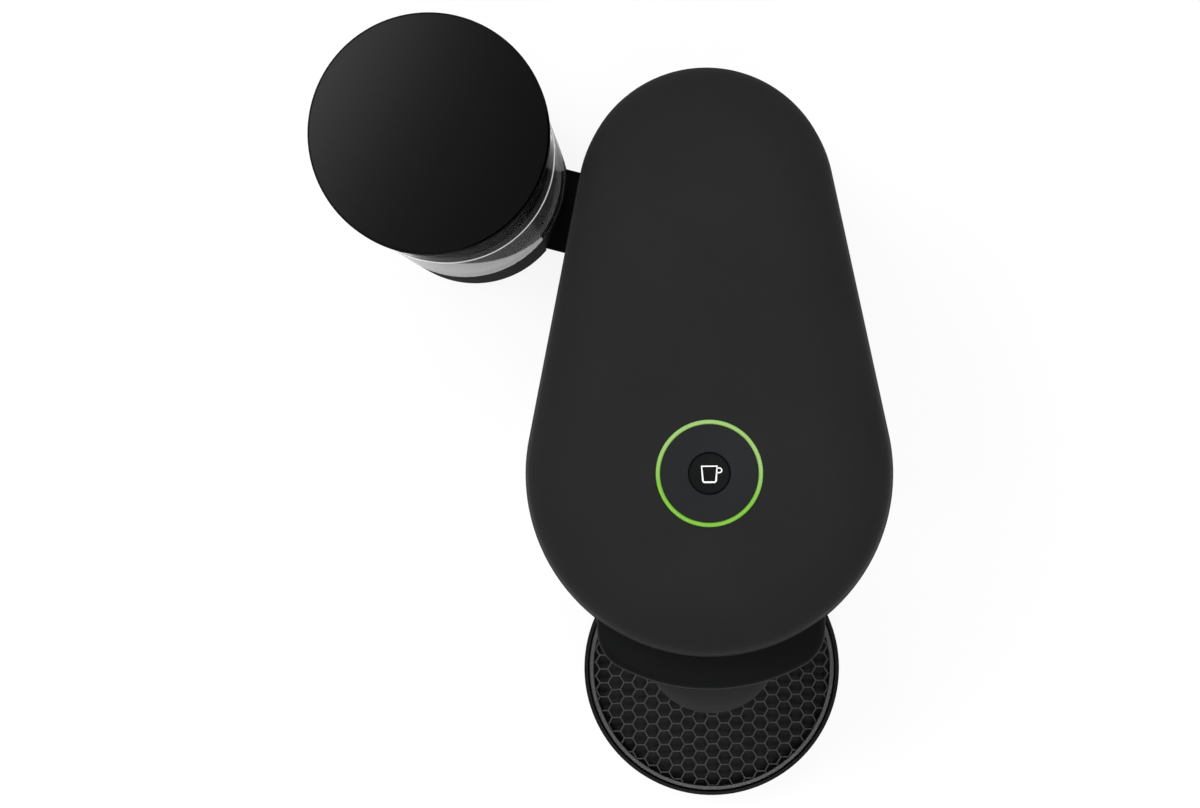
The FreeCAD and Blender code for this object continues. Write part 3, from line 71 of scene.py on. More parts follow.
class Shader:
    """Small helper that wires the nodes of one tree."""

    def __init__(self, tree: bpy.types.NodeTree) -> None:
        """Work on the tree of a material or of the world.

        Args:
            tree: Node tree to add to.
        """
        self.tree = tree

    def add(self, kind: str, **sockets: object) -> bpy.types.Node:
        """Add a node and set its sockets.

        Args:
            kind: Blender's name of the node type.
            **sockets: Values by socket name, with underscores for spaces.

        Returns:
            The new node.
        """
        node = self.tree.nodes.new(kind)
        for name, value in sockets.items():
            node.inputs[name.replace("_", " ")].default_value = value
        return node

    def link(self, source: bpy.types.NodeSocket, target: bpy.types.NodeSocket) -> None:
        """Join two sockets.

        Args:
            source: Socket to read.
            target: Socket to feed.
        """
        self.tree.links.new(source, target)

    def noise(self, size_m: float, detail: float = 3.0) -> bpy.types.NodeSocket:
        """Add noise that is fixed to the piece.

        Args:
            size_m: Typical size of one speck, in metres.
            detail: Number of finer layers.

        Returns:
            The noise's value socket, about 0 to 1.
        """
        place = self.add("ShaderNodeTexCoord")
        cloud = self.add("ShaderNodeTexNoise", Scale=1.0 / size_m, Detail=detail)
        self.link(place.outputs["Object"], cloud.inputs["Vector"])
        return cloud.outputs["Fac"]

    def ramp(self, start_m: float, end_m: float, along: Direction = UP) -> bpy.types.NodeSocket:
        """Ramp from 0 to 1 along one direction of the piece.

        Args:
            start_m: Place of the ramp's 0, in metres.
            end_m: Place of the ramp's 1, in metres.
            along: Direction that the ramp follows.

        Returns:
            The ramp's value socket, held at 0 and 1 outside it.
        """
        place = self.add("ShaderNodeTexCoord")
        way = self.add("ShaderNodeVectorMath")
        way.operation = "DOT_PRODUCT"
        way.inputs[1].default_value = along
        self.link(place.outputs["Object"], way.inputs[0])
        ramp = self.add("ShaderNodeMapRange", From_Min=start_m, From_Max=end_m)
        self.link(way.outputs["Value"], ramp.inputs["Value"])
        return ramp.outputs["Result"]

    def reach(self, axis: Plan, start_m: float, end_m: float) -> bpy.types.NodeSocket:
        """Ramp from 0 to 1 outwards from an upright axis.

        Args:
            axis: Place of the axis in plan, in metres.
            start_m: Distance of the ramp's 0, in metres.
            end_m: Distance of the ramp's 1, in metres.

        Returns:
            The ramp's value socket, held at 0 and 1 outside it.
        """
        place = self.add("ShaderNodeTexCoord")
        plan = self.add("ShaderNodeVectorMath")
        plan.operation = "MULTIPLY"
        plan.inputs[1].default_value = (1.0, 1.0, 0.0)
        away = self.add("ShaderNodeVectorMath")
        away.operation = "DISTANCE"
        away.inputs[1].default_value = (*axis, 0.0)
        ramp = self.add("ShaderNodeMapRange", From_Min=start_m, From_Max=end_m)
        self.link(place.outputs["Object"], plan.inputs[0])
        self.link(plan.outputs["Vector"], away.inputs[0])
        self.link(away.outputs["Value"], ramp.inputs["Value"])
        return ramp.outputs["Result"]

    def mapped(self, source: bpy.types.NodeSocket, low: float | bpy.types.NodeSocket,
               high: float | bpy.types.NodeSocket) -> bpy.types.NodeSocket:
        """Blend from one value or socket to another.

        Args:
            source: Socket that runs from 0 to 1.
            low: Result at 0.
            high: Result at 1.

        Returns:
            The blended socket.
        """
        blend = self.add("ShaderNodeMapRange")
        self.link(source, blend.inputs["Value"])
        for name, end in (("To Min", low), ("To Max", high)):
            if isinstance(end, float):
                blend.inputs[name].default_value = end
            else:
                self.link(end, blend.inputs[name])
        return blend.outputs["Result"]

    def spread(self, source: bpy.types.NodeSocket, low: float, high: float) -> bpy.types.NodeSocket:
        """Map noise onto a range.

        Args:
            source: Socket to read.
            low: Result at the low end of usual noise.
            high: Result at its high end.

        Returns:
            The mapped socket.
        """
        ramp = self.add("ShaderNodeMapRange", From_Min=NOISE_LOW, From_Max=NOISE_HIGH,
                        To_Min=low, To_Max=high)
        self.link(source, ramp.inputs["Value"])
        return ramp.outputs["Result"]

    def tint(self, source: bpy.types.NodeSocket, dark: Colour, light: Colour) -> bpy.types.NodeSocket:
        """Blend two colours by a value.

        Args:
            source: Socket that picks between the colours.
            dark: Colour at the low end.
            light: Colour at the high end.

        Returns:
            The colour socket.
        """
        ramp = self.add("ShaderNodeValToRGB")
        first, last = ramp.color_ramp.elements
        first.position, last.position = NOISE_LOW, NOISE_HIGH
        first.color, last.color = (*dark, 1.0), (*light, 1.0)
        self.link(source, ramp.inputs["Fac"])
        return ramp.outputs["Color"]

    def bump(self, source: bpy.types.NodeSocket, depth_m: float) -> bpy.types.NodeSocket:
        """Turn a value into surface relief.

        Args:
            source: Height of the relief.
            depth_m: Depth of the relief in metres.

        Returns:
            The normal socket.
        """
        relief = self.add("ShaderNodeBump", Strength=1.0, Distance=depth_m)
        self.link(source, relief.inputs["Height"])
        return relief.outputs["Normal"]


class MaterialShader(Shader):
    """Nodes of one new material."""

    def __init__(self, name: str) -> None:
        """Start an empty material.

        Args:
            name: Name of the material.
        """
        self.material = bpy.data.materials.new(name)
        self.material.use_nodes = True
        super().__init__(self.material.node_tree)
        self.tree.nodes.clear()

    def finish(self, surface: bpy.types.NodeSocket) -> bpy.types.Material:
        """Give the material its surface.

        Args:
            surface: Shader socket to show.

        Returns:
            The finished material.
        """
        output = self.add("ShaderNodeOutputMaterial")
        self.link(surface, output.inputs["Surface"])
        return self.material


def scaled(colour: Colour, factor: float) -> Colour:
    """Make a colour lighter or darker.

    Args:
        colour: Colour to start from.
        factor: Above 1 for lighter, below 1 for darker.

    Returns:
        The new colour, held at white.
    """
    return tuple(min(1.0, part * factor) for part in colour)


@dataclass(frozen=True)
class Plastic:
    """Moulded plastic with a fine spark grain and slight drift of colour."""

    name: str
    colour: Colour
    roughness: float
    grain_m: float = 0.0006
    grain_detail: float = 2.0
    grain_share: float = 0.1
    depth_m: float = 0.00001
    cloud_m: float = 0.03
    drift: float = 0.1
    gloss: float = 0.3

    def shade(self, shader: Shader) -> bpy.types.NodeSocket:
        """Drift the colour slightly in soft clouds.

        Args:
            shader: Material to add the nodes to.

        Returns:
            The colour socket.
        """
        clouds = shader.noise(self.cloud_m)
        return shader.tint(clouds, scaled(self.colour, 1 - self.drift), scaled(self.colour, 1 + self.drift))

    def rough(self, shader: Shader, grain: bpy.types.NodeSocket) -> bpy.types.NodeSocket:
        """Vary the roughness with the grain.

        Args:
            shader: Material to add the nodes to.
            grain: Noise of the grain.

        Returns:
            The roughness socket.
        """
        return shader.spread(grain, self.roughness * (1 - self.grain_share),
                             self.roughness * (1 + self.grain_share))

    def material(self) -> bpy.types.Material:
        """Build the finish's material."""
        shader = MaterialShader(self.name)
        surface = shader.add("ShaderNodeBsdfPrincipled", Specular_IOR_Level=self.gloss)
        grain = shader.noise(self.grain_m, self.grain_detail)
        shader.link(self.shade(shader), surface.inputs["Base Color"])
        shader.link(self.rough(shader, grain), surface.inputs["Roughness"])
        shader.link(shader.bump(grain, self.depth_m), surface.inputs["Normal"])
        return shader.finish(surface.outputs["BSDF"])


@dataclass(frozen=True)
class LidPlastic(Plastic):
    """Plastic that is polished on its top face and matt round its edge."""

    edge_m: float = 0.2845
    edge_roughness: float = 0.95

    def rough(self, shader: Shader, grain: bpy.types.NodeSocket) -> bpy.types.NodeSocket:
        """Polish the face above the edge only."""
        edge = shader.ramp(self.edge_m, self.edge_m - SEAM)
        return shader.mapped(edge, super().rough(shader, grain), self.edge_roughness)


@dataclass(frozen=True)
class PaintedLightBowlPlastic(Plastic):
    """Plastic of the drip bowl, with painted light on its floor: the floor is coloured lighter than the
    rim, in patches.
    """

    floor_painted_light: Colour = (0.02, 0.02, 0.02)
    floor_m: float = 0.014
    fade_m: float = 0.006
    patch_m: float = 0.006
    patch_light_low: float = 0.5
    patch_light_high: float = 0.8

    def shade(self, shader: Shader) -> bpy.types.NodeSocket:
        """Paint light onto the floor, stronger in some patches than in others."""
        low = shader.ramp(self.floor_m + self.fade_m, self.floor_m)
        light_patches = shader.spread(shader.noise(self.patch_m), self.patch_light_low, self.patch_light_high)
        floor_light = shader.mapped(low, 0.0, light_patches)
        return shader.tint(floor_light, self.colour, self.floor_painted_light)


@dataclass(frozen=True)
class GridPlastic(Plastic):
    """Plastic that is polished on the frame ring and satin on the mesh inside it."""

    axis: Plan = (0.0, -0.087)
    ring_m: float = 0.0527
    ring_roughness: float = 0.28

    def rough(self, shader: Shader, grain: bpy.types.NodeSocket) -> bpy.types.NodeSocket:
        """Polish the ring only."""
        ring = shader.reach(self.axis, self.ring_m, self.ring_m + FINE_SEAM)
        return shader.mapped(ring, super().rough(shader, grain), self.ring_roughness)


@dataclass(frozen=True)
class Metal:
    """Turned or drawn metal with a fine grain."""

    name: str
    colour: Colour
    roughness: float
    grain_m: float = 0.0004
    grain_detail: float = 1.0
    grain_share: float = 0.2
    depth_m: float = 0.000004
    cloud_m: float = 0.01
    dull: float = 0.9
    bright: float = 1.05

    def material(self) -> bpy.types.Material:
        """Build the finish's material."""
        shader = MaterialShader(self.name)
        surface = shader.add("ShaderNodeBsdfPrincipled", Metallic=1.0)
        grain = shader.noise(self.grain_m, self.grain_detail)
        shade = shader.tint(shader.noise(self.cloud_m), scaled(self.colour, self.dull),
                            scaled(self.colour, self.bright))
        rough = shader.spread(grain, self.roughness * (1 - self.grain_share),
                              self.roughness * (1 + self.grain_share))
        shader.link(shade, surface.inputs["Base Color"])
        shader.link(rough, surface.inputs["Roughness"])
        shader.link(shader.bump(grain, self.depth_m), surface.inputs["Normal"])
        return shader.finish(surface.outputs["BSDF"])


@dataclass(frozen=True)
class ClearPlastic:
    """Clear moulded plastic of the water tank, with painted light below its moulded line: a painted veil of
    haze, a painted highlight at its foot and a painted reflection in its coat.
    """

    name: str
    tint: Colour
    roughness: float
    line_height: float = 0.188
    foot_height: float = 0.0732
    cradle_height: float = 0.072
    skin_radius: float = 0.0421
    # Painted veil: haze below the moulded line.
    painted_veil: float = 0.045
    # Painted highlight: a hazier band at the foot of the wall.
    foot_highlight_haze: float = 0.200
    haze_above: float = 0.006
    # Painted reflection: coat gloss below the moulded line, strongest under a leaning edge.
    gloss: float = 0.46
    gloss_veil: float = 0.020
    reflection_lean: float = 3.2
    reflection_level: float = 0.198
    reflection_fade: float = 0.003
    coat_roughness: float = 0.06
    coat_ior: float = 1.5
    inner_ior: float = 1.001
    line_fade: float = 0.0005
    flow_m: float = 0.02
    flow_tint: float = 0.97
    flow_share: float = 0.3
    axis: Plan = (-0.1049, 0.1301)

    def seated(self, shader: Shader) -> bpy.types.NodeSocket:
        """Pick the part of the tank that stands inside its cradle.

        Args:
            shader: Material to add the nodes to.

        Returns:
            A socket that is 1 inside the cradle.
        """
        return shader.ramp(self.cradle_height, self.cradle_height - SEAM)

    def skin(self, shader: Shader) -> bpy.types.NodeSocket:
        """Pick the outer face of the wall above its cradle.

        Args:
            shader: Material to add the nodes to.

        Returns:
            A socket that is 1 on the outer face.
        """
        return shader.reach(self.axis, self.skin_radius - FINE_SEAM, self.skin_radius + FINE_SEAM)

    def passing(self, shader: Shader, above: bpy.types.NodeSocket) -> bpy.types.NodeSocket:
        """Set how much light passes in each band of the wall: a painted veil of haze below the moulded line
        and a painted highlight in a hazier band at the foot.

        Args:
            shader: Material to add the nodes to.
            above: Socket that is 1 above the moulded line.

        Returns:
            The transmission socket.
        """
        # Painted highlight: the band at the foot is hazier, so it reads lighter.
        foot = shader.ramp(self.foot_height + SEAM, self.foot_height)
        outer = shader.mapped(foot, 1 - self.painted_veil, 1 - self.foot_highlight_haze)
        wall = shader.mapped(self.skin(shader), 1 - self.painted_veil, outer)
        lower = shader.mapped(self.seated(shader), wall, 1 - self.haze_above)
        return shader.mapped(above, lower, 1 - self.haze_above)

    def paint_reflection(self, shader: Shader, above: bpy.types.NodeSocket) -> bpy.types.NodeSocket:
        """Paint a reflection onto the wall as coat gloss, strongest under a leaning edge.

        Args:
            shader: Material to add the nodes to.
            above: Socket that is 1 above the moulded line.

        Returns:
            The coat socket.
        """
        edge = self.reflection_level + self.reflection_lean * self.axis[0]
        lean = (self.reflection_lean, 0.0, 1.0)
        # Painted reflection: a tilted band of the outer face gets the strongest coat.
        under = shader.ramp(edge + self.reflection_fade, edge - self.reflection_fade, lean)
        wall = shader.mapped(under, self.gloss_veil, self.gloss)
        return shader.mapped(above, shader.mapped(self.skin(shader), 0.0, wall), 0.0)

    def material(self) -> bpy.types.Material:
        """Build the finish's material."""
        shader = MaterialShader(self.name)
        clear = shader.add("ShaderNodeBsdfPrincipled", IOR=self.inner_ior,
                           Coat_Roughness=self.coat_roughness, Coat_IOR=self.coat_ior)
        flow = shader.noise(self.flow_m)
        above = shader.ramp(self.line_height, self.line_height + self.line_fade)
        colour = shader.tint(flow, scaled(self.tint, self.flow_tint), self.tint)
        rough = shader.spread(flow, self.roughness * (1 - self.flow_share),
                              self.roughness * (1 + self.flow_share))
        shader.link(colour, clear.inputs["Base Color"])
        shader.link(rough, clear.inputs["Roughness"])
        shader.link(self.passing(shader, above), clear.inputs["Transmission Weight"])
        shader.link(self.paint_reflection(shader, above), clear.inputs["Coat Weight"])
        return shader.finish(clear.outputs["BSDF"])


@dataclass(frozen=True)
class LightGuide:
    """Milky ring lit from below, paler towards the rear and slightly to the right."""

    name: str
    front: Colour
    rear: Colour
    strength: float
    roughness: float = 0.35
    gloss: float = 0.35
    half_span: float = 0.018
    along: Direction = (0.2, 0.98, 0.0)

    def material(self) -> bpy.types.Material:
        """Build the finish's material."""
        shader = MaterialShader(self.name)
        surface = shader.add("ShaderNodeBsdfPrincipled", Roughness=self.roughness,
                             Specular_IOR_Level=self.gloss, Emission_Strength=self.strength)
        glow = shader.tint(shader.ramp(-self.half_span, self.half_span, self.along), self.front, self.rear)
        shader.link(glow, surface.inputs["Base Color"])
        shader.link(glow, surface.inputs["Emission Color"])
        return shader.finish(surface.outputs["BSDF"])


HEAD = Plastic("head_satin", (0.0176, 0.0178, 0.0178), 0.65, drift=0.04, gloss=0.01)
HOUSING = Plastic("housing_satin", (0.019, 0.019, 0.020), 0.50, gloss=0.12)
LEVER = Plastic("lever_satin", (0.0034, 0.0036, 0.0040), 0.50, gloss=0.04)
# The bowl's lighter floor colour is painted light.
TRAY = PaintedLightBowlPlastic("tray_satin", (0.0032, 0.0034, 0.0036), 0.36, gloss=0.05,
                   floor_painted_light=(0.0120, 0.0122, 0.0127))
GRID = GridPlastic("grid_satin", (0.0082, 0.0084, 0.0089), 0.38, depth_m=0.000004, gloss=0.22)
SPOUT = Plastic("spout_satin", (0.0300, 0.0300, 0.0303), 0.75, gloss=0.01)
ARM = Plastic("arm_black", (0.0070, 0.0070, 0.0071), 0.60, gloss=0.0)
CRADLE = Plastic("cradle_satin", (0.0060, 0.0060, 0.0061), 0.60, gloss=0.003)
LID = LidPlastic("lid_smooth", (0.0003, 0.0004, 0.0006), 0.15, depth_m=0.000001, gloss=0.05)
DISC = Plastic("disc_smooth", (0.0108, 0.0113, 0.0132), 0.40, depth_m=0.000003, gloss=0.05)
BUTTON = Plastic("button_smooth", (0.0042, 0.0046, 0.0048), 0.40, depth_m=0.000003, gloss=0.03)
PALE = Plastic("pale_plastic", (0.62, 0.61, 0.58), 0.40)
RUBBER = Plastic("soft_rubber", (0.012, 0.012, 0.012), 0.75, depth_m=0.00003)
BOARD = Plastic("board_green", (0.02, 0.12, 0.045), 0.40)
# Painted highlight: the pale bead on the tank's moulded ledge.
LEDGE_HIGHLIGHT = Plastic("tank_ledge_painted_highlight", (0.85, 0.85, 0.86), 0.40, drift=0.05)
ICON = Plastic("icon_white", (0.86, 0.86, 0.86), 0.50, drift=0.03)
STEEL = Metal("bright_steel", (0.60, 0.60, 0.61), 0.22)
ALLOY = Metal("cast_alloy", (0.55, 0.56, 0.57), 0.42)
# The tank's finish carries a painted veil, a painted highlight and a painted reflection.
CLEAR = ClearPlastic("tank_clear", (0.93, 0.935, 0.94), 0.03)
GREEN = LightGuide("ring_green", (0.104, 0.278, 0.012), (0.180, 0.314, 0.079), 0.43)

Finish = Plastic | Metal | ClearPlastic | LightGuide


class Wardrobe:
    """Keeps one material for each finish and one smoothing group for all pieces."""

    weld_m: float = 0.000004
    smooth_deg: float = 32.0
    bevel_deg: float = 40.0
    bevel_steps: int = 2

    def __init__(self) -> None:
        """Start with no materials."""
        self.made: dict[str, bpy.types.Material] = {}
        self.smoothing = self._smoothing_group()

    def _smoothing_group(self) -> bpy.types.GeometryNodeTree:
        """Build the nodes that weld facets and smooth all but sharp edges.

        Returns:
            The node group for a modifier.
        """
        group = bpy.data.node_groups.new("smooth_facets", "GeometryNodeTree")
        group.interface.new_socket("Geometry", in_out="INPUT", socket_type="NodeSocketGeometry")
        group.interface.new_socket("Geometry", in_out="OUTPUT", socket_type="NodeSocketGeometry")
        start = group.nodes.new("NodeGroupInput")
        end = group.nodes.new("NodeGroupOutput")
        weld = group.nodes.new("GeometryNodeMergeByDistance")
        weld.inputs["Distance"].default_value = self.weld_m
        faces = group.nodes.new("GeometryNodeSetShadeSmooth")
        edges = group.nodes.new("GeometryNodeSetShadeSmooth")
        edges.domain = "EDGE"
        angle = group.nodes.new("GeometryNodeInputMeshEdgeAngle")
        sharp = group.nodes.new("FunctionNodeCompare")
        sharp.data_type = "FLOAT"
        sharp.operation = "GREATER_THAN"
        sharp.inputs["B"].default_value = math.radians(self.smooth_deg)
        edges.inputs["Shade Smooth"].default_value = False
        for source, target in (
            (start.outputs[0], weld.inputs["Geometry"]),
            (weld.outputs["Geometry"], faces.inputs["Geometry"]),
            (faces.outputs["Geometry"], edges.inputs["Geometry"]),
            (angle.outputs["Unsigned Angle"], sharp.inputs["A"]),
            (sharp.outputs["Result"], edges.inputs["Selection"]),
            (edges.outputs["Geometry"], end.inputs[0]),
        ):
            group.links.new(source, target)
        return group

    def paint(self, piece: bpy.types.Object, finish: Finish) -> None:
        """Give a piece one finish.

        Args:
            piece: Object to dress.
            finish: Finish to use.
        """
        if finish.name not in self.made:
            self.made[finish.name] = finish.material()
        piece.data.materials.clear()
        piece.data.materials.append(self.made[finish.name])

    def dress(self, node: str, finish: Finish, edge: Sharpness = Sharpness.MOULDED) -> None:
        """Smooth a solid, break its edges and paint it.

        Args:
            node: Name of the solid.
            finish: Finish to use.
            edge: How crisp its edges are.
        """
        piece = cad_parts[node]
        self.paint(piece, finish)
        smooth = piece.modifiers.new("smooth", "NODES")
        smooth.node_group = self.smoothing
        bevel = piece.modifiers.new("broken_edges", "BEVEL")
        bevel.width = edge.value
        bevel.segments = self.bevel_steps
        bevel.limit_method = "ANGLE"
        bevel.angle_limit = math.radians(self.bevel_deg)
        bevel.use_clamp_overlap = True
        bevel.harden_normals = True
        LOG.info("%s: %s", node, finish.name)


def ribbon(name: str, path: list[Vector], width: float, height: float, closed: bool) -> bpy.types.Object:
    """Build a flat raised line along a path, rooted a little below the surface.

    Args:
        name: Name of the new piece.
        path: Points along the middle of the line, on the surface.
        width: Width of the line in metres.
        height: Height of the line above the surface.
        closed: Whether the line meets itself.

    Returns:
        The new mesh object.
    """
    mesh = bmesh.new()
    count = len(path)
    rails: list[tuple[bmesh.types.BMVert, bmesh.types.BMVert]] = []
    for i, point in enumerate(path):
        before = path[i - 1] if closed or i else point
        after = path[(i + 1) % count] if closed or i < count - 1 else point
        ahead = (after - before).normalized()
        side = Vector((-ahead.y, ahead.x, 0)) * width / 2
        lift = Vector((0, 0, height))
        rails.append((mesh.verts.new(point + side + lift), mesh.verts.new(point - side + lift)))
    for i in range(count if closed else count - 1):
        near, far = rails[i], rails[(i + 1) % count]
        mesh.faces.new((near[0], near[1], far[1], far[0]))
    top = mesh.faces[:]
    grown = bmesh.ops.extrude_face_region(mesh, geom=top)
    low = [item for item in grown["geom"] if isinstance(item, bmesh.types.BMVert)]
    bmesh.ops.translate(mesh, verts=low, vec=(0, 0, -height - RIBBON_ROOT))
    bmesh.ops.recalc_face_normals(mesh, faces=mesh.faces)
    data = bpy.data.meshes.new(name)
    mesh.to_mesh(data)
    mesh.free()
    piece = bpy.data.objects.new(name, data)
    bpy.context.scene.collection.objects.link(piece)
    return piece


def arc(centre: Vector, radius: float, start: float, end: float, steps: int) -> list[Vector]:
    """Points along an arc in plan.

    Args:
        centre: Centre of the arc.
        radius: Radius in metres.
        start: First angle in degrees.
        end: Last angle in degrees.
        steps: Number of pieces the arc is cut into.

    Returns:
        The points, ends included.
    """
    angles = [math.radians(start + (end - start) * i / steps) for i in range(steps + 1)]
    return [centre + radius * Vector((math.cos(a), math.sin(a), 0)) for a in angles]


@dataclass
class Head:
    """Hinged head with its lever, light ring and brew button."""

    wardrobe: Wardrobe
    icon_rim: float = 5.7 * MM
    icon_foot: float = 4.9 * MM
    icon_tall: float = 5.9 * MM
    icon_drop: float = 0.3 * MM
    icon_line: float = 0.62 * MM
    icon_bend: float = 1.2
    icon_lean: float = 10.0
    icon_height: float = 0.3 * MM
    icon_sink: float = 0.35 * MM
    bend_steps: int = 5
    grip_line: float = 0.48 * MM
    grip_share: float = 0.29
    grip_level: float = 0.47
    grip_top: float = 0.12
    grip_foot: float = 0.41
    grip_steps: int = 10

    def dress(self) -> None:
        """Paint the solids of the head."""
        self.wardrobe.dress("head_cover", HEAD)
        self.wardrobe.dress("head_frame", HOUSING)
        self.wardrobe.dress("lever", LEVER, Sharpness.SOFT)
        self.wardrobe.dress("light_ring", GREEN, Sharpness.CRISP)
        self.wardrobe.dress("button_disc", DISC, Sharpness.CRISP)
        self.wardrobe.dress("brew_button", BUTTON, Sharpness.CRISP)
        for node in ("head_screws", "lever_pin", "clamp_bearing", "clamp_clip", "button_spring"):
            self.wardrobe.dress(node, STEEL, Sharpness.CRISP)
        for node in ("water_nozzle", "pod_clamp", "button_switch"):
            self.wardrobe.dress(node, PALE, Sharpness.CRISP)
        self.wardrobe.dress("button_board", BOARD, Sharpness.CRISP)

    def build_icon(self) -> None:
        """Print a plain cup outline on the brew button."""
        low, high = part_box("brew_button")
        middle = Vector(((low[0] + high[0]) / 2, (low[1] + high[1]) / 2, high[2] - self.icon_sink))
        middle.y -= self.icon_drop
        rim, foot, half = self.icon_rim / 2, self.icon_foot / 2, self.icon_tall / 2
        bend, lean = self.icon_line * self.icon_bend, self.icon_lean

        def spot(across: float, along: float) -> Vector:
            """Place a point of the icon, counted from its middle."""
            return middle + Vector((across, along, 0))

        cup = [spot(-rim, half), spot(-foot, -half + bend),
               *arc(spot(-foot + bend, -half + bend), bend, 180 + lean, 270, self.bend_steps),
               *arc(spot(foot - bend, -half + bend), bend, 270, 360 - lean, self.bend_steps),
               spot(foot, -half + bend), spot(rim, half)]
        grip, level = half * self.grip_share, half * self.grip_level
        handle = [spot(rim - (rim - foot) * self.grip_top, level + grip),
                  *arc(spot(rim + grip, level), grip, 90, -90, self.grip_steps),
                  spot(rim - (rim - foot) * self.grip_foot, level - grip)]
        for name, path, width, closed in (("icon_cup", cup, self.icon_line, True),
                                          ("icon_handle", handle, self.grip_line, False)):
            line = ribbon(name, path, width, self.icon_height, closed)
            self.wardrobe.paint(line, ICON)
            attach(line, "button")
            LOG.info("%s: cup icon", name)


@dataclass
class BrewUnit:
    """Brew housing, spinning bowl, spout and the column that carries them."""

    wardrobe: Wardrobe

    def dress(self) -> None:
        """Paint the solids of the brew unit, column and base."""
        for node in ("brew_housing", "coffee_collector", "column_shell", "pod_bin"):
            self.wardrobe.dress(node, HOUSING)
        self.wardrobe.dress("coffee_spout", SPOUT, Sharpness.SOFT)
        self.wardrobe.dress("base_plate", ARM)
        self.wardrobe.dress("pod_bowl", PALE, Sharpness.CRISP)
        for node in ("hinge_pin", "spin_shaft", "shaft_bearing", "swivel_post"):
            self.wardrobe.dress(node, STEEL, Sharpness.CRISP)
        for node in ("spin_motor", "water_pump", "heater_block"):
            self.wardrobe.dress(node, ALLOY, Sharpness.CRISP)
        for node in ("rubber_feet", "cord_gland"):
            self.wardrobe.dress(node, RUBBER)
        self.wardrobe.dress("flow_meter", PALE, Sharpness.CRISP)
        self.wardrobe.dress("main_board", BOARD, Sharpness.CRISP)
        self.wardrobe.dress("pressure_hose", RUBBER, Sharpness.CRISP)
        self.wardrobe.dress("base_screws", STEEL, Sharpness.CRISP)


@dataclass
class DripTray:
    """Cup support with its grid of six-sided cells."""

    wardrobe: Wardrobe

    def dress(self) -> None:
        """Paint the drip bowl and its grid."""
        self.wardrobe.dress("cup_support", TRAY, Sharpness.CRISP)
        self.wardrobe.dress("drip_grid", GRID, Sharpness.CRISP)


@dataclass
class WaterTank:
    """Clear tank on its swivelling arm."""

    wardrobe: Wardrobe
    line_height: float = 188.25 * MM
    line_radius: float = 43.75 * MM
    line_width: float = 0.45 * MM
    line_rise: float = 0.3 * MM
    line_steps: int = 96

    def build_ledge_highlight(self) -> None:
        """Lay a pale bead on the moulded ledge round the tank as a painted highlight."""
        low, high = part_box("tank_lid")
        middle = Vector(((low[0] + high[0]) / 2, (low[1] + high[1]) / 2, self.line_height))
        path = arc(middle, self.line_radius, 0, 360, self.line_steps)[:-1]
        bead = ribbon("tank_ledge_highlight", path, self.line_width, self.line_rise, True)
        self.wardrobe.paint(bead, LEDGE_HIGHLIGHT)
        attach(bead, "tank")
        LOG.info("tank_ledge_highlight: pale line")

    def dress(self) -> None:
        """Paint the tank, its lid, cradle and arm."""
        self.wardrobe.dress("water_tank", CLEAR, Sharpness.CRISP)
        self.wardrobe.dress("tank_lid", LID, Sharpness.CRISP)
        self.wardrobe.dress("tank_cradle", CRADLE)
        self.wardrobe.dress("tank_arm", ARM)
        self.wardrobe.dress("tank_valve", PALE, Sharpness.CRISP)
        for node in ("valve_seal", "tank_glides"):
            self.wardrobe.dress(node, RUBBER, Sharpness.CRISP)


@dataclass(frozen=True)
class Lamp:
    """Square soft lamp that is turned towards the machine."""

    name: str
    place: Direction
    size: float
    power: float
    target: Direction = (0.0, 0.0, 0.2)

    def hang(self) -> None:
        """Add the lamp to the scene."""
        data = bpy.data.lights.new(self.name, "AREA")
        data.size = self.size
        data.energy = self.power
        lamp = bpy.data.objects.new(self.name, data)
        lamp.location = self.place
        aim = Vector(self.target) - Vector(self.place)
        lamp.rotation_euler = aim.to_track_quat("-Z", "Y").to_euler()
        bpy.context.scene.collection.objects.link(lamp)


LAMPS = (
    Lamp("lid_softbox", (-0.635, 0.41, 2.25), 0.6, 18.5),
    Lamp("tray_softbox", (0.0, -0.37, 2.25), 0.25, 6.5),
    Lamp("left_softbox", (-2.0, 0.0, 1.5), 1.7, 15.5),
    Lamp("right_softbox", (2.0, 0.0, 1.5), 1.7, 17.5),
    Lamp("front_softbox", (0.0, -2.0, 1.5), 1.7, 15.0),
    Lamp("back_softbox", (0.0, 2.2, 1.5), 1.7, 13.0),
)


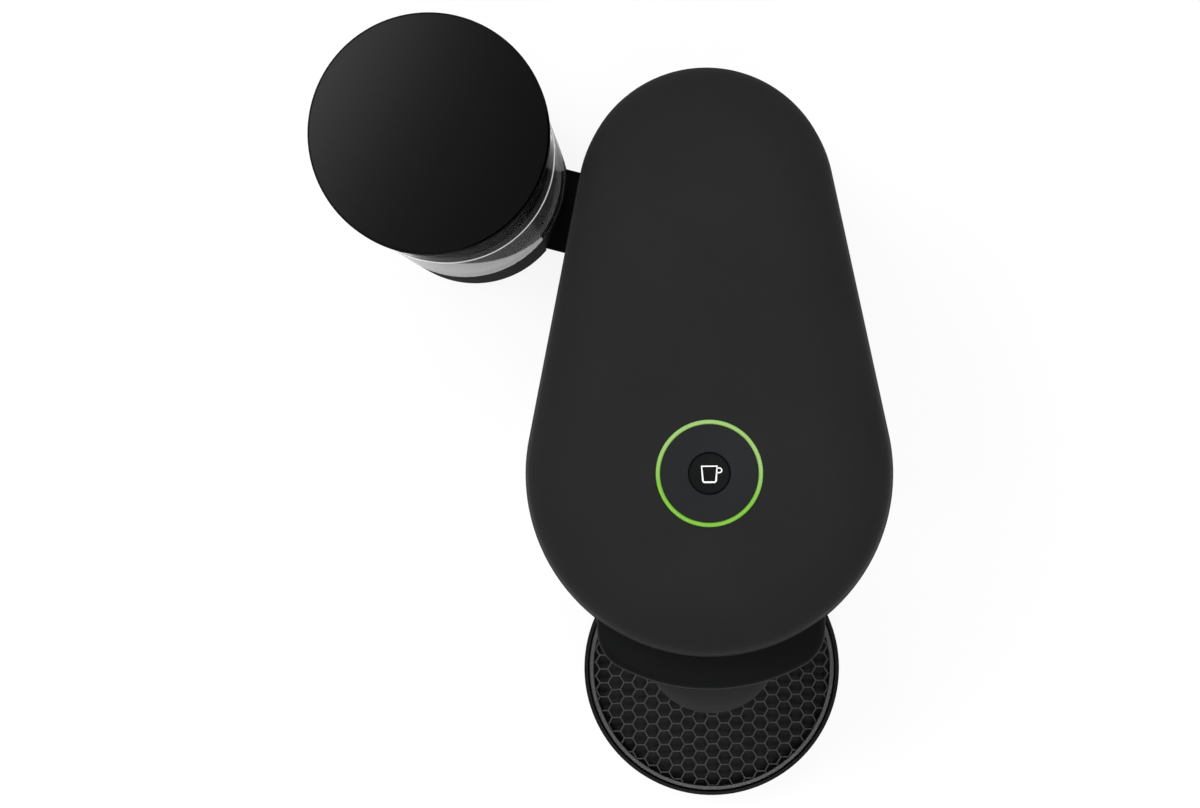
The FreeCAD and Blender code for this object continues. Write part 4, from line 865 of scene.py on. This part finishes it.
@dataclass
class Studio:
    """Pale floor, soft light and the camera of the photograph."""

    camera_height: float = 1.690
    focal_px: float = 3710.0
    sensor_mm: float = 36.0
    brew_axis_px: Plan = (709.4, 473.4)
    frame_centre_px: Plan = (600.0, 404.0)
    roll_deg: float = -0.68
    floor_half: float = 3.0
    floor_grey: float = 0.86
    white_share: float = 0.86
    white_level: float = 1.03
    shadow_near: float = 0.45
    shadow_far: float = 1.10
    room_light: float = 0.30

    def build_camera(self) -> None:
        """Put the camera straight above the brew axis."""
        data = bpy.data.cameras.new("overhead_camera")
        data.sensor_width = self.sensor_mm
        data.lens = self.focal_px / PHOTO_WIDTH * self.sensor_mm
        data.shift_x = (self.frame_centre_px[0] - self.brew_axis_px[0]) / PHOTO_WIDTH
        data.shift_y = (self.brew_axis_px[1] - self.frame_centre_px[1]) / PHOTO_WIDTH
        data.dof.use_dof = False
        camera = bpy.data.objects.new("overhead_camera", data)
        camera.location = (0, 0, self.camera_height)
        camera.rotation_euler = (0, 0, math.radians(self.roll_deg))
        bpy.context.scene.collection.objects.link(camera)
        bpy.context.scene.camera = camera

    def build_floor(self) -> None:
        """Lay a large pale floor that keeps soft shadows and fades to white far out."""
        data = bpy.data.meshes.new("floor")
        half = self.floor_half
        data.from_pydata([(-half, -half, 0), (half, -half, 0), (half, half, 0), (-half, half, 0)], [],
                         [(0, 1, 2, 3)])
        floor = bpy.data.objects.new("floor", data)
        bpy.context.scene.collection.objects.link(floor)
        shader = MaterialShader("floor_white")
        diffuse = shader.add("ShaderNodeBsdfDiffuse", Color=(*[self.floor_grey] * 3, 1.0))
        bright = shader.add("ShaderNodeEmission", Color=WHITE, Strength=self.white_level)
        mix = shader.add("ShaderNodeMixShader")
        away = shader.reach((0.0, 0.0), self.shadow_near, self.shadow_far)
        share = shader.mapped(away, self.white_share, 1.0)
        shader.link(shader.mapped(self.seen_rays(shader), 0.0, share), mix.inputs["Fac"])
        shader.link(diffuse.outputs["BSDF"], mix.inputs[1])
        shader.link(bright.outputs["Emission"], mix.inputs[2])
        data.materials.append(shader.finish(mix.outputs["Shader"]))

    @staticmethod
    def seen_rays(shader: Shader) -> bpy.types.NodeSocket:
        """Pick the rays that show the background to the eye.

        Args:
            shader: Material or world to add the nodes to.

        Returns:
            A socket that is 1 for camera, glossy and transmission rays.
        """
        path = shader.add("ShaderNodeLightPath")
        seen = path.outputs["Is Camera Ray"]
        for kind in ("Is Glossy Ray", "Is Transmission Ray"):
            either = shader.add("ShaderNodeMath")
            either.operation = "MAXIMUM"
            shader.link(seen, either.inputs[0])
            shader.link(path.outputs[kind], either.inputs[1])
            seen = either.outputs["Value"]
        return seen

    def build_lights(self) -> None:
        """Hang large soft lamps round the machine over an even pale world."""
        for lamp in LAMPS:
            lamp.hang()
        self.build_room()

    def build_room(self) -> None:
        """Fill the room with even light and let it read as white."""
        world = bpy.data.worlds.new("pale_room")
        world.use_nodes = True
        shader = Shader(world.node_tree)
        background = world.node_tree.nodes["Background"]
        background.inputs["Color"].default_value = WHITE
        strength = shader.mapped(self.seen_rays(shader), self.room_light, 1.0)
        shader.link(strength, background.inputs["Strength"])
        bpy.context.scene.world = world

    def build(self) -> None:
        """Build the whole studio."""
        self.build_camera()
        self.build_floor()
        self.build_lights()
        bpy.context.scene.view_settings.view_transform = "Standard"


def main() -> None:
    """Build every sub-assembly in order."""
    logging.basicConfig(level=logging.INFO, format="%(message)s")
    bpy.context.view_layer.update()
    wardrobe = Wardrobe()
    head = Head(wardrobe)
    head.dress()
    head.build_icon()
    BrewUnit(wardrobe).dress()
    DripTray(wardrobe).dress()
    tank = WaterTank(wardrobe)
    tank.dress()
    tank.build_ledge_highlight()
    Studio().build()


if __name__ == "__main__":
    main()
